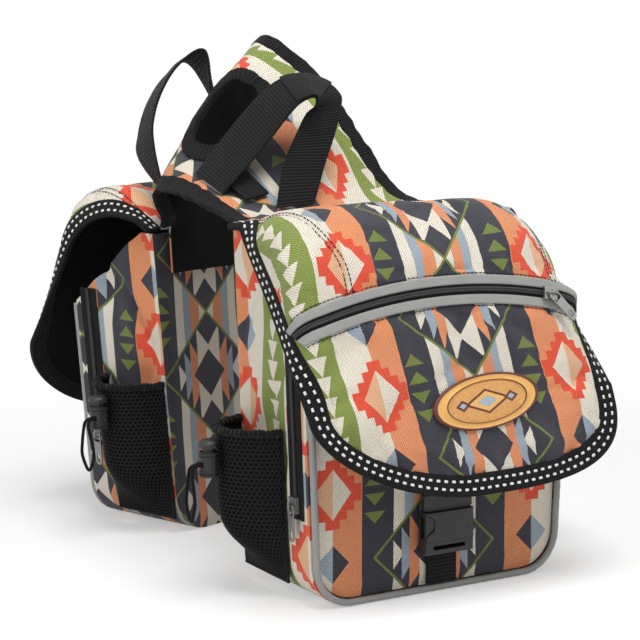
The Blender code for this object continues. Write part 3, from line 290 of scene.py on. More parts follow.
def tube(line: list[Vector], radius: Callable[[float], float], sides: int, up: Vector) -> Rows:
    """Return the rings of a round tube.

    Args:
        line: Points of the centre line.
        radius: The tube's radius at a distance along the line.
        sides: Sides of each ring.
        up: A direction that the line never follows.
    Returns:
        One ring for each point.
    """
    rings, distance = [], 0.0
    for index, here in enumerate(line):
        before, after = line[max(index - 1, 0)], line[min(index + 1, len(line) - 1)]
        distance += (here - before).length
        along = (after - before).normalized()
        across = along.cross(up).normalized()
        lift = across.cross(along)
        up = lift
        rings.append([here + across * c + lift * d for c, d in circle(radius(distance), sides)])
    return rings


def normals_of(rows: Rows) -> Rows:
    """Return the unit normal at each point of a grid.

    Args:
        rows: The grid's rows of points.
    Returns:
        A normal for each point.
    """
    made = []
    for r, row in enumerate(rows):
        above, below = rows[max(r - 1, 0)], rows[min(r + 1, len(rows) - 1)]
        line = []
        for c in range(len(row)):
            across = row[min(c + 1, len(row) - 1)] - row[max(c - 1, 0)]
            line.append((below[c] - above[c]).cross(across).normalized())
        made.append(line)
    return made


@dataclass(frozen=True)
class Slack:
    """How a sewn cloth settles between its seams, by a short cloth simulation of one sheet."""

    ease: float = 0.032
    pressure: float = 2.6
    rise: float = 0.0030
    sink: float = 0.0016
    slip: float = 0.0003
    stiffness: float = 12.0
    bending: float = 0.15
    frames: int = 20

    def settle(self, rows: Rows, held: list[list[float]]) -> Rows:
        """Let a sheet swell and pucker between the places where it is sewn down.

        Args:
            rows: The sheet's points.
            held: For each point, 1 where it is sewn down and 0 where it is free.
        Returns:
            The settled points, none further from its start than the rise or the sink.
        """
        width = len(rows[0])
        mesh = bpy.data.meshes.new("settling")
        faces = [(r * width + c, (r + 1) * width + c, (r + 1) * width + c + 1, r * width + c + 1)
                 for r in range(len(rows) - 1) for c in range(width - 1)]
        mesh.from_pydata([tuple(point) for point in flat(rows)], [], faces)
        item = bpy.data.objects.new("settling", mesh)
        bpy.context.collection.objects.link(item)
        group = item.vertex_groups.new(name="held")
        for index, weight in enumerate(flat(held)):
            group.add([index], weight, "REPLACE")
        self.prepare(item)
        moved = self.run(item)
        bpy.data.objects.remove(item)
        bpy.data.meshes.remove(mesh)
        return self.limit(rows, [moved[r * width:(r + 1) * width] for r in range(len(rows))])

    def prepare(self, item: bpy.types.Object) -> None:
        """Give a sheet its cloth settings.

        Args:
            item: The sheet's object.
        """
        cloth = item.modifiers.new("cloth", "CLOTH")
        settings = cloth.settings
        settings.quality = 6
        settings.mass = 0.2
        settings.tension_stiffness = self.stiffness
        settings.compression_stiffness = self.stiffness
        settings.shear_stiffness = self.stiffness / 2
        settings.bending_stiffness = self.bending
        settings.air_damping = 2.0
        settings.vertex_group_mass = "held"
        settings.shrink_min = -self.ease
        settings.use_pressure = True
        settings.uniform_pressure_force = self.pressure
        settings.effector_weights.gravity = 0.0
        cloth.collision_settings.use_collision = False
        cloth.point_cache.frame_start = 1
        cloth.point_cache.frame_end = self.frames

    def run(self, item: bpy.types.Object) -> list[Vector]:
        """Step the simulation and return where the sheet's points end.

        Args:
            item: The sheet's object.
        Returns:
            The points.
        """
        scene = bpy.context.scene
        for step in range(1, self.frames + 1):
            scene.frame_set(step)
        settled = item.evaluated_get(bpy.context.evaluated_depsgraph_get()).to_mesh()
        points = [vertex.co.copy() for vertex in settled.vertices]
        scene.frame_set(1)
        return points

    def limit(self, rows: Rows, moved: Rows) -> Rows:
        """Return the moved points kept within the rise, the sink and a small sideways slip.

        Args:
            rows: The points before the simulation.
            moved: The points after it.
        Returns:
            The kept points.
        """
        made = []
        for row, ends, outs in zip(rows, moved, normals_of(rows)):
            line = []
            for start, end, out in zip(row, ends, outs):
                shift = end - start
                height = shift.dot(out)
                slip = shift - out * height
                if slip.length > self.slip:
                    slip *= self.slip / slip.length
                line.append(start + slip + out * min(max(height, -self.sink), self.rise))
            made.append(line)
        return made


class Ink(Enum):
    """The colours of the bag, as they look in plain light."""

    CREAM = (0.900, 0.865, 0.800)
    NAVY = (0.125, 0.120, 0.175)
    PEACH = (0.900, 0.700, 0.540)
    ORANGE = (0.880, 0.560, 0.370)
    RED = (0.890, 0.290, 0.150)
    OLIVE = (0.500, 0.560, 0.240)
    LIME = (0.420, 0.480, 0.170)
    MIST = (0.600, 0.655, 0.700)
    BLACK = (0.090, 0.090, 0.092)
    # Near-black of the sheet behind the net pockets, painted shade.
    PITCH = (0.020, 0.020, 0.021)
    COAL = (0.055, 0.055, 0.058)
    REFLECTIVE = (0.560, 0.560, 0.550)
    DASH = (0.830, 0.835, 0.820)
    GUNMETAL = (0.560, 0.560, 0.555)
    GOLD = (0.860, 0.660, 0.360)
    TAN = (0.800, 0.580, 0.330)
    BROWN = (0.340, 0.150, 0.100)

    @property
    def linear(self) -> tuple[float, float, float, float]:
        """Return the colour as shader sockets want it.

        Returns:
            Red, green, blue and alpha.
        """
        def straight(value: float) -> float:
            """Return one channel without its display curve."""
            return value / 12.92 if value < 0.04045 else ((value + 0.055) / 1.055) ** 2.4
        return (*(straight(value) for value in self.value), 1.0)


class Sum:
    """A number in a material, reckoned with like a plain one."""

    def __init__(self, tree: bpy.types.NodeTree, socket: bpy.types.NodeSocket) -> None:
        """Hold an output socket and its tree."""
        self.tree = tree
        self.socket = socket

    def done(self, operation: str, *others: "Sum | float") -> "Sum":
        """Return the result of a math node on this number and others.

        Args:
            operation: The math node's operation.
            others: The other numbers that it takes.
        Returns:
            The node's result.
        """
        node = self.tree.nodes.new("ShaderNodeMath")
        node.operation = operation
        for place, value in zip(node.inputs, (self, *others)):
            if isinstance(value, Sum):
                self.tree.links.new(value.socket, place)
            else:
                place.default_value = value
        return Sum(self.tree, node.outputs[0])

    def __add__(self, other: "Sum | float") -> "Sum":
        """Return the sum."""
        return self.done("ADD", other)

    def __sub__(self, other: "Sum | float") -> "Sum":
        """Return the difference."""
        return self.done("SUBTRACT", other)

    def __mul__(self, other: "Sum | float") -> "Sum":
        """Return the product."""
        return self.done("MULTIPLY", other)

    def __truediv__(self, other: "Sum | float") -> "Sum":
        """Return the quotient."""
        return self.done("DIVIDE", other)

    def size(self) -> "Sum":
        """Return the number without its sign."""
        return self.done("ABSOLUTE")

    def below(self, limit: "Sum | float") -> "Sum":
        """Return 1 where the number is below a limit."""
        return self.done("LESS_THAN", limit)

    def above(self, limit: "Sum | float") -> "Sum":
        """Return 1 where the number is above a limit."""
        return self.done("GREATER_THAN", limit)

    def folded(self, half: float) -> "Sum":
        """Return the number mirrored back and forth between 0 and half."""
        return self.done("PINGPONG", half)

    def wave(self, pitch: float) -> "Sum":
        """Return a sine of the number from -1 to 1 with a pitch."""
        return (self * (2 * math.pi / pitch)).done("SINE")

    def steps(self, size: float) -> "Sum":
        """Return how many whole steps of a size fit in the number."""
        return (self / size).done("FLOOR")


class Recipe:
    """The nodes of one material."""

    def __init__(self, label: str) -> None:
        """Start a material with a principled shader.

        Args:
            label: The material's name.
        """
        self.material = bpy.data.materials.new(label)
        self.material.use_nodes = True
        self.tree = self.material.node_tree
        self.shader = self.tree.nodes["Principled BSDF"]

    def cloth(self) -> tuple[Sum, Sum, Sum]:
        """Return the piece's cloth coordinates in metres.

        Returns:
            Three numbers.
        """
        source = self.tree.nodes.new("ShaderNodeAttribute")
        source.attribute_name = "cloth"
        parts = self.tree.nodes.new("ShaderNodeSeparateXYZ")
        self.tree.links.new(source.outputs["Vector"], parts.inputs[0])
        return tuple(Sum(self.tree, output) for output in parts.outputs)

    def cloud(self, size: float, detail: float = 3.0) -> Sum:
        """Return a soft noise of a size from 0 to 1, fixed to the object.

        Args:
            size: The size of its spots in metres.
            detail: How many finer layers it has.
        Returns:
            The noise.
        """
        place = self.tree.nodes.new("ShaderNodeTexCoord")
        node = self.tree.nodes.new("ShaderNodeTexNoise")
        node.inputs["Scale"].default_value = 1 / size
        node.inputs["Detail"].default_value = detail
        self.tree.links.new(place.outputs["Object"], node.inputs["Vector"])
        return Sum(self.tree, node.outputs[0])

    def paint(self, base: Ink | bpy.types.NodeSocket, top: Ink | bpy.types.NodeSocket,
              mask: Sum) -> bpy.types.NodeSocket:
        """Return base with top over it where the mask is 1.

        Args:
            base: The colour beneath.
            top: The colour on top.
            mask: Where the top shows.
        Returns:
            The mixed colour.
        """
        node = self.tree.nodes.new("ShaderNodeMix")
        node.data_type = "RGBA"
        self.tree.links.new(mask.socket, node.inputs[0])
        for place, colour in ((node.inputs[6], base), (node.inputs[7], top)):
            if isinstance(colour, Ink):
                place.default_value = colour.linear
            else:
                self.tree.links.new(colour, place)
        return node.outputs[2]

    def shaded(self, colour: Ink | bpy.types.NodeSocket, amount: Sum) -> bpy.types.NodeSocket:
        """Return a colour scaled by an amount.

        Args:
            colour: The colour to scale.
            amount: The amount, 1 to leave it as it is.
        Returns:
            The scaled colour.
        """
        node = self.tree.nodes.new("ShaderNodeVectorMath")
        node.operation = "SCALE"
        if isinstance(colour, Ink):
            node.inputs[0].default_value = colour.linear[:3]
        else:
            self.tree.links.new(colour, node.inputs[0])
        self.tree.links.new(amount.socket, node.inputs["Scale"])
        return node.outputs[0]

    def dress(self, colour: bpy.types.NodeSocket, roughness: "Sum | float", height: Sum, depth: float,
              metallic: float = 0.0, sheen: float = 0.0) -> None:
        """Set the shader's colour, gloss and relief.

        Args:
            colour: The base colour.
            roughness: The roughness, even or from nodes.
            height: The relief from 0 to 1.
            depth: How deep the relief is, in metres.
            metallic: The metallic value.
            sheen: The sheen weight.
        """
        links, inputs = self.tree.links, self.shader.inputs
        links.new(colour, inputs["Base Color"])
        if isinstance(roughness, Sum):
            links.new(roughness.socket, inputs["Roughness"])
        else:
            inputs["Roughness"].default_value = roughness
        bump = self.tree.nodes.new("ShaderNodeBump")
        bump.inputs["Strength"].default_value = 1.0
        bump.inputs["Distance"].default_value = depth
        links.new(height.socket, bump.inputs["Height"])
        links.new(bump.outputs[0], inputs["Normal"])
        inputs["Metallic"].default_value = metallic
        inputs["Sheen Weight"].default_value = sheen
        inputs["Sheen Roughness"].default_value = 0.5


@dataclass(frozen=True)
class Finish:
    """A finish that pieces share: what it is called and which slot of the record it stands for."""

    label: str
    slot: str
    roughness: float = 0.7
    depth: float = 0.0003

    def material(self) -> bpy.types.Material:
        """Return the finish's material, made once.

        Returns:
            The material.
        """
        found = bpy.data.materials.get(self.label)
        if found:
            return found
        recipe = Recipe(self.label)
        self.mix(recipe)
        return recipe.material

    def mix(self, recipe: Recipe) -> None:
        """Fill the recipe."""
        raise NotImplementedError


@dataclass(frozen=True)
class PrintedCloth(Finish):
    """Oxford cloth with a stepped-diamond stripe print that is folded about its columns."""

    weave: float = 0.0020
    repeat: float = 0.0950
    fold: float = 0.1205
    diamond: float = 0.0490
    boundary: float = 0.0820
    diamond_line: float = 0.026
    diamond_fill: float = 0.95
    middle_slope: float = 1.06
    middle_half: float = 0.0185
    outer_teeth: int = 7
    tooth_reach: float = 0.0062
    step_size: Pair = (0.0056, 0.0059)
    steps_shown: float = 3.5
    core_half: Pair = (0.0145, 0.0175)
    kite_half: float = 0.0130

    def mix(self, recipe: Recipe) -> None:
        """Fill the recipe with the print, the weave, painted shade in the gaps between the threads and a
        little soil.

        Args:
            recipe: The material's nodes.
        """
        x, y, _ = recipe.cloth()
        across, level = x.folded(self.fold), y.folded(self.repeat / 2)
        paint = self.centre(recipe, across, level)
        paint = self.border(recipe, paint, across, level, y)
        threads = (x.wave(self.weave) * y.wave(self.weave)) * 0.5 + 0.5
        soil = recipe.cloud(0.03) * 0.16 + 0.90
        grain = recipe.cloud(0.0006, 1.0) * 0.14 + 0.93
        # Painted shade: the colour is darker in the gaps between the threads, where the weave's relief dips;
        # soil and grain are random tone.
        relief_shade_and_mottle = (threads * 0.55 + 0.62) * soil * grain
        recipe.dress(recipe.shaded(paint, relief_shade_and_mottle), threads * -0.12 + self.roughness + 0.06,
                     threads + recipe.cloud(0.002) * 0.4, self.depth, sheen=0.12)

    def centre(self, recipe: Recipe, across: Sum, level: Sum) -> bpy.types.NodeSocket:
        """Return the navy middle column with its big diamonds, stripes and crowns.

        Args:
            recipe: The material's nodes.
            across: The folded distance from the print's middle.
            level: The folded height in one repeat.
        Returns:
            The colour so far.
        """
        reach = across / self.diamond + level / (self.repeat / 2)
        outside = reach.above(1.0)
        paint = recipe.paint(Ink.NAVY, Ink.CREAM, across.below(0.0340) * outside)
        for edge, ink in ((0.0252, Ink.MIST), (0.0178, Ink.ORANGE), (0.0080, Ink.CREAM)):
            paint = recipe.paint(paint, ink, across.below(edge) * outside)
        inside = reach.below(self.diamond_fill)
        for low, high, start, slope, ink in ((0.0272, 0.0340, 0.0020, 1.20, Ink.CREAM),
                                             (0.0208, 0.0272, 0.0098, 1.37, Ink.MIST),
                                             (0.0126, 0.0208, 0.0145, 1.50, Ink.ORANGE),
                                             (0.0, 0.0126, 0.0215, 1.15, Ink.CREAM)):
            tooth = (across - low) * slope + start
            band = across.above(low - 0.00001) * across.below(high)
            paint = recipe.paint(paint, ink, band * level.below(tooth) * inside)
        paint = recipe.paint(paint, Ink.NAVY, (across * self.middle_slope + level).below(self.middle_half))
        return recipe.paint(paint, Ink.LIME, (reach - 1.0).size().below(self.diamond_line))

    def border(self, recipe: Recipe, paint: bpy.types.NodeSocket, across: Sum, level: Sum,
               y: Sum) -> bpy.types.NodeSocket:
        """Return the print with its triangle stacks, medallions and outer stripes.

        Args:
            recipe: The material's nodes.
            paint: The colour so far.
            across: The folded distance from the print's middle.
            level: The folded height in one repeat.
            y: The height on the cloth.
        Returns:
            The whole print's colour.
        """
        rise = level * -1.0 + self.repeat / 2
        pitch, tall, half, lead = 0.0125, 0.0083, 0.0082, 0.0028
        climb = rise - lead
        step = climb - climb.steps(pitch) * pitch
        width = (step / -tall + 1.0) * half
        stack = (across - self.diamond).size().below(width) * climb.above(0.0) * climb.below(2 * pitch)
        paint = recipe.paint(paint, Ink.LIME, stack)
        for edge, ink in ((0.0590, Ink.ORANGE), (self.boundary, Ink.CREAM), (0.1070, Ink.OLIVE)):
            paint = recipe.paint(paint, ink, across.above(edge))
        tooth = self.repeat / self.outer_teeth
        width = (y / tooth - y.steps(tooth)) * self.tooth_reach
        paint = recipe.paint(paint, Ink.CREAM, (across * -1.0 + self.fold).below(width))
        beside = (across - self.boundary).size()
        outer = across.above(self.boundary)
        steps = beside.steps(self.step_size[0]) + rise.steps(self.step_size[1])
        paint = recipe.paint(paint, Ink.RED, steps.below(self.steps_shown))
        core = (beside / self.core_half[0] + rise / self.core_half[1]).below(1.0)
        paint = recipe.paint(paint, Ink.CREAM, core)
        paint = recipe.paint(paint, Ink.PEACH, core * outer)
        kite = (beside + level).below(self.kite_half)
        paint = recipe.paint(paint, Ink.NAVY, kite)
        return recipe.paint(paint, Ink.MIST, kite * outer)


@dataclass(frozen=True)
class Woven(Finish):
    """A dark woven band or cloth: ribs across its length and a finer twill over them."""

    ink: Ink = Ink.COAL
    rib: float = 0.0024
    twill: float = 0.0009
    slant: float = 0.0
    # lift: how much lighter the ribs' crests are painted than their hollows, a painted highlight and shade.
    lift: float = 0.5
    gloss: float = 0.10

    def mix(self, recipe: Recipe) -> None:
        """Fill the recipe with ribs, twill and dust, with painted highlight on the ribs' crests and painted
        shade in their hollows.

        Args:
            recipe: The material's nodes.
        """
        x, y, _ = recipe.cloth()
        lean = x.folded(0.0045) * self.slant
        ribs = (y + lean).wave(self.rib) * 0.5 + 0.5
        fine = (x + y).wave(self.twill) * (x - y).wave(self.twill) * 0.5 + 0.5
        relief = ribs * 0.7 + fine * 0.3
        # Painted highlight and shade: the colour is lighter on the ribs' crests and darker in their hollows,
        # by lift; the cloud is random dust.
        relief_shade_and_mottle = (relief * self.lift + 0.7) * (recipe.cloud(0.02) * 0.5 + 0.75)
        recipe.dress(recipe.shaded(self.ink, relief_shade_and_mottle), relief * -0.15 + self.roughness + 0.1,
                     relief + recipe.cloud(0.0008, 1.0) * 0.25, self.depth, sheen=0.02)
        recipe.shader.inputs["Specular IOR Level"].default_value = self.gloss


@dataclass(frozen=True)
class Fuzzy(Finish):
    """A napped, hairy band such as an overlocked rim or a soft fastening patch."""

    ink: Ink = Ink.COAL
    sheen: float = 0.12
    gloss: float = 0.20

    def mix(self, recipe: Recipe) -> None:
        """Fill the recipe with nap and tufts.

        Args:
            recipe: The material's nodes.
        """
        nap = recipe.cloud(0.0009, 4.0)
        tufts = recipe.cloud(0.0030, 2.0)
        recipe.dress(recipe.shaded(self.ink, nap * 0.9 + tufts * 0.5 + 0.2), self.roughness,
                     nap + tufts * 0.6, self.depth, sheen=self.sheen)
        recipe.shader.inputs["Specular IOR Level"].default_value = self.gloss


@dataclass(frozen=True)
class Reflective(Finish):
    """A grey light-returning film with fine beads and rubbed creases."""

    ink: Ink = Ink.REFLECTIVE
    metallic: float = 0.15

    def mix(self, recipe: Recipe) -> None:
        """Fill the recipe with beads and rubs.

        Args:
            recipe: The material's nodes.
        """
        beads = recipe.cloud(0.0004, 1.0)
        rubs = recipe.cloud(0.012, 5.0)
        paint = recipe.shaded(self.ink, beads * 0.25 + rubs * 0.30 + 0.74)
        recipe.dress(paint, rubs * 0.25 + self.roughness, beads * 0.5 + rubs, self.depth,
                     metallic=self.metallic)


@dataclass(frozen=True)
class Moulded(Finish):
    """Moulded black plastic with a spark-eroded grain and faint scuffs."""

    ink: Ink = Ink.BLACK

    def mix(self, recipe: Recipe) -> None:
        """Fill the recipe with grain and scuffs.

        Args:
            recipe: The material's nodes.
        """
        grain = recipe.cloud(0.0005, 2.0)
        scuffs = recipe.cloud(0.006, 6.0)
        recipe.dress(recipe.shaded(self.ink, scuffs * 0.5 + 0.75), scuffs * 0.25 + self.roughness,
                     grain, self.depth)


@dataclass(frozen=True)
class Cast(Finish):
    """Plated zinc with worn patches."""

    ink: Ink = Ink.GUNMETAL

    def mix(self, recipe: Recipe) -> None:
        """Fill the recipe with plating and wear.

        Args:
            recipe: The material's nodes.
        """
        wear = recipe.cloud(0.0025, 5.0)
        recipe.dress(recipe.shaded(self.ink, wear * 0.7 + 0.55), wear * 0.35 + self.roughness,
                     recipe.cloud(0.0012), self.depth, metallic=0.95)


@dataclass(frozen=True)
class Enamel(Finish):
    """The badge: a dark rim, a pale ring and a hammered tan field with a plain kite between small ones."""

    def mix(self, recipe: Recipe) -> None:
        """Fill the recipe with the rings and the hammered field.

        Args:
            recipe: The material's nodes.
        """
        radius, across, up = recipe.cloth()
        hammered = recipe.cloud(0.0022, 2.0)
        paint = recipe.shaded(Ink.TAN, hammered * 0.5 + 0.75)
        kite = across.size() / 0.0190 + up.size() / 0.0085
        beside = (across.size() - 0.0200).size() / 0.0060 + up.size() / 0.0040
        for shape, size, ink in ((kite, 1.0, Ink.BROWN), (kite, 0.80, Ink.GOLD), (kite, 0.45, Ink.MIST),
                                 (beside, 1.0, Ink.BROWN), (beside, 0.5, Ink.MIST)):
            paint = recipe.paint(paint, ink, shape.below(size))
        paint = recipe.paint(paint, Ink.BROWN, radius.above(0.735))
        paint = recipe.paint(paint, Ink.GOLD, radius.above(0.765))
        paint = recipe.paint(paint, Ink.BROWN, radius.above(0.930))
        recipe.dress(paint, hammered * 0.2 + self.roughness, hammered * radius.below(0.72), self.depth)


class Finishes(Enum):
    """Every finish of the bag."""

    PRINT = PrintedCloth("printed oxford", "print", 0.72, 0.00045)
    PANEL_PRINT = PrintedCloth("printed oxford back", "panel_print", 0.74, 0.00045)
    # lift sets how much lighter each woven finish is painted on its rib crests than in its hollows: painted
    # highlight and shade.
    LINING = Woven("black lining", "lining", 0.80, 0.00020, rib=0.0011, twill=0.0008, lift=0.4)
    WEBBING = Woven("ribbed webbing", "webbing", 0.60, 0.00090, rib=0.0026, twill=0.0013, lift=3.0)
    HERRINGBONE = Woven("herringbone tape", "webbing", 0.64, 0.00060, rib=0.0026, twill=0.0011, slant=1.0,
                        lift=2.2)
    RIBBED_TAPE = Woven("ribbed edge tape", "webbing", 0.64, 0.00070, rib=0.0024, twill=0.0011, lift=2.0)
    ZIP_TAPE = Woven("zip tape", "zip_tape", 0.60, 0.00025, Ink.BLACK, 0.0012, 0.0008, slant=0.6)
    COIL = Moulded("zip coil", "zip_tape", 0.42, 0.00010, Ink.COAL)
    BAND = Reflective("reflective band", "zip_tape", 0.48, 0.00035)
    PIPING = Reflective("reflective piping", "piping", 0.46, 0.00030)
    DASH = Reflective("reflective dash", "webbing", 0.50, 0.00020, Ink.DASH, 0.0)
    NET = Fuzzy("pocket net", "mesh", 0.55, 0.00025, Ink.BLACK, 0.02)
    # Near-black sheet behind the net: painted shade for the dark inside of the pocket.
    POCKET_SHADE = Fuzzy("pocket painted shade", "mesh", 0.85, 0.00025, Ink.PITCH, 0.0)
    NAP = Fuzzy("napped rim", "mesh", 0.95, 0.00090, Ink.COAL, 0.10)
    THREAD = Fuzzy("sewing thread", "lining", 0.60, 0.00010, Ink.NAVY, 0.10)
    CORD = Woven("braided cord", "cord", 0.62, 0.00035, rib=0.0016, twill=0.0016, slant=0.7, lift=0.9)
    PLASTIC = Moulded("moulded buckle", "plastic", 0.36, 0.00008)
    METAL = Cast("plated zinc", "zip_metal", 0.26, 0.00012)
    ENAMEL = Enamel("badge enamel", "badge", 0.42, 0.00040)


def add_piece(name: str, skin: Skin, finish: Finishes, stands_for: Sequence[str] = (), body: str = "bag",
              crisp: float = 45.0) -> bpy.types.Object:
    """Add a dressed piece that rides on a body.

    Args:
        name: The piece's name.
        skin: Its mesh.
        finish: Its finish.
        stands_for: CAD nodes that it replaces.
        body: The CAD body that carries it.
        crisp: The angle in degrees from which an edge stays sharp.
    Returns:
        The new object.
    """
    mesh = bpy.data.meshes.new(name)
    mesh.from_pydata([tuple(point) for point in skin.points], [], skin.faces)
    work = bmesh.new()
    work.from_mesh(mesh)
    bmesh.ops.recalc_face_normals(work, faces=work.faces)
    work.to_mesh(mesh)
    work.free()
    marks = mesh.attributes.new("cloth", "FLOAT_VECTOR", "POINT")
    marks.data.foreach_set("vector", flat(skin.cloth))
    mesh.shade_smooth()
    mesh.set_sharp_from_angle(angle=math.radians(crisp))
    mesh.materials.append(finish.value.material())
    item = bpy.data.objects.new(name, mesh)
    bpy.context.collection.objects.link(item)
    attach(item, body)
    if stands_for:
        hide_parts(*stands_for)
    LOG.info("%s: %d faces", name, len(mesh.polygons))
    return item


def stations(line: list[Station], pitch: float) -> list[Station]:
    """Return places about a pitch apart along a line of (place, any, out) triples.

    Args:
        line: Close-set places with the outward direction at each.
        pitch: The distance between the places to return.
    Returns:
        The place, the direction along the line and the outward direction at each.
    """
    made, rest = [], pitch / 2
    for (here, _, out), (there, _, _) in zip(line, line[1:]):
        step = there - here
        if step.length < 1e-9:
            continue
        while rest < step.length:
            made.append((here + step * (rest / step.length), step.normalized(), out))
            rest += pitch
        rest -= step.length
    return made


@dataclass(frozen=True)
class Stitching:
    """A row of raised stitches or dashes."""

    length: float
    width: float
    height: float
    pitch: float
    square: float = 0.5

    def sew(self, skin: Skin, line: list[Station]) -> Skin:
        """Add the row along a line of stations to a skin and return it.

        Args:
            skin: The skin to add to.
            line: The stations that it follows.
        Returns:
            The skin.
        """
        for place, along, out in stations(line, self.pitch):
            across = out.cross(along).normalized()
            rings = []
            for share in (-1.0, -0.8, 0.8, 1.0):
                grow = self.square if abs(share) == 1.0 else 1.0
                centre = place + along * (share * self.length / 2)
                rings.append([centre + across * (c * grow) + out * (d * grow) for c, d in (
                    (-self.width / 2, -self.height * 0.3), (self.width / 2, -self.height * 0.3),
                    (self.width / 2, self.height * 0.6), (self.width * 0.25, self.height),
                    (-self.width * 0.25, self.height), (-self.width / 2, self.height * 0.6))])
            skin.loft(rings)
        return skin


TOPSTITCH = Stitching(length=0.0026, width=0.0006, height=0.0004, pitch=0.0034)
REFLECTIVE_DASH = Stitching(length=0.0027, width=0.0017, height=0.0005, pitch=0.0061, square=0.7)


def band_profile(width: float, low: float, high: float, bend: float = 0.0008) -> list[Pair]:
    """Return the rounded cross-section of a flat band as (share of its width, height) pairs.

    Args:
        width: The band's width.
        low: The height of its back.
        high: The height of its face.
        bend: The radius of its edges.
    Returns:
        The section's points.
    """
    soft = bend / width
    bend = min(bend, (high - low) * 0.45)
    lower = [(0.0, low + bend), (soft * 0.3, low + bend * 0.3), (soft, low), (0.5, low), (1 - soft, low),
             (1 - soft * 0.3, low + bend * 0.3), (1.0, low + bend)]
    upper = [(1.0, high - bend), (1 - soft * 0.3, high - bend * 0.3), (1 - soft, high), (0.75, high),
             (0.5, high), (0.25, high), (soft, high), (soft * 0.3, high - bend * 0.3), (0.0, high - bend)]
    return lower + upper


def band(skin: Skin, first: list, second: list, place: Callable[[float, float, float], Vector], width: float,
         low: float, high: float, closed: bool = False) -> Skin:
    """Add a flat band between two lines on a surface.

    Args:
        skin: The skin to add to.
        first: One edge as pairs of surface coordinates.
        second: The other edge, pair for pair.
        place: Where a pair of coordinates and a height lie.
        width: The band's width.
        low: The height of its back.
        high: The height of its face.
        closed: Whether it joins up with itself.
    Returns:
        The skin.
    """
    profile = band_profile(width, low, high)
    rings, cloth, along, before = [], [], 0.0, None
    for here, there in zip(first, second):
        ring = [place(here[0] + (there[0] - here[0]) * share, here[1] + (there[1] - here[1]) * share, out)
                for share, out in profile]
        along += (ring[0] - before).length if before else 0.0
        before = ring[0]
        rings.append(ring)
        cloth.append([(share * width, along, 0.0) for share, _ in profile])
    return skin.loft(rings, closed, cloth)


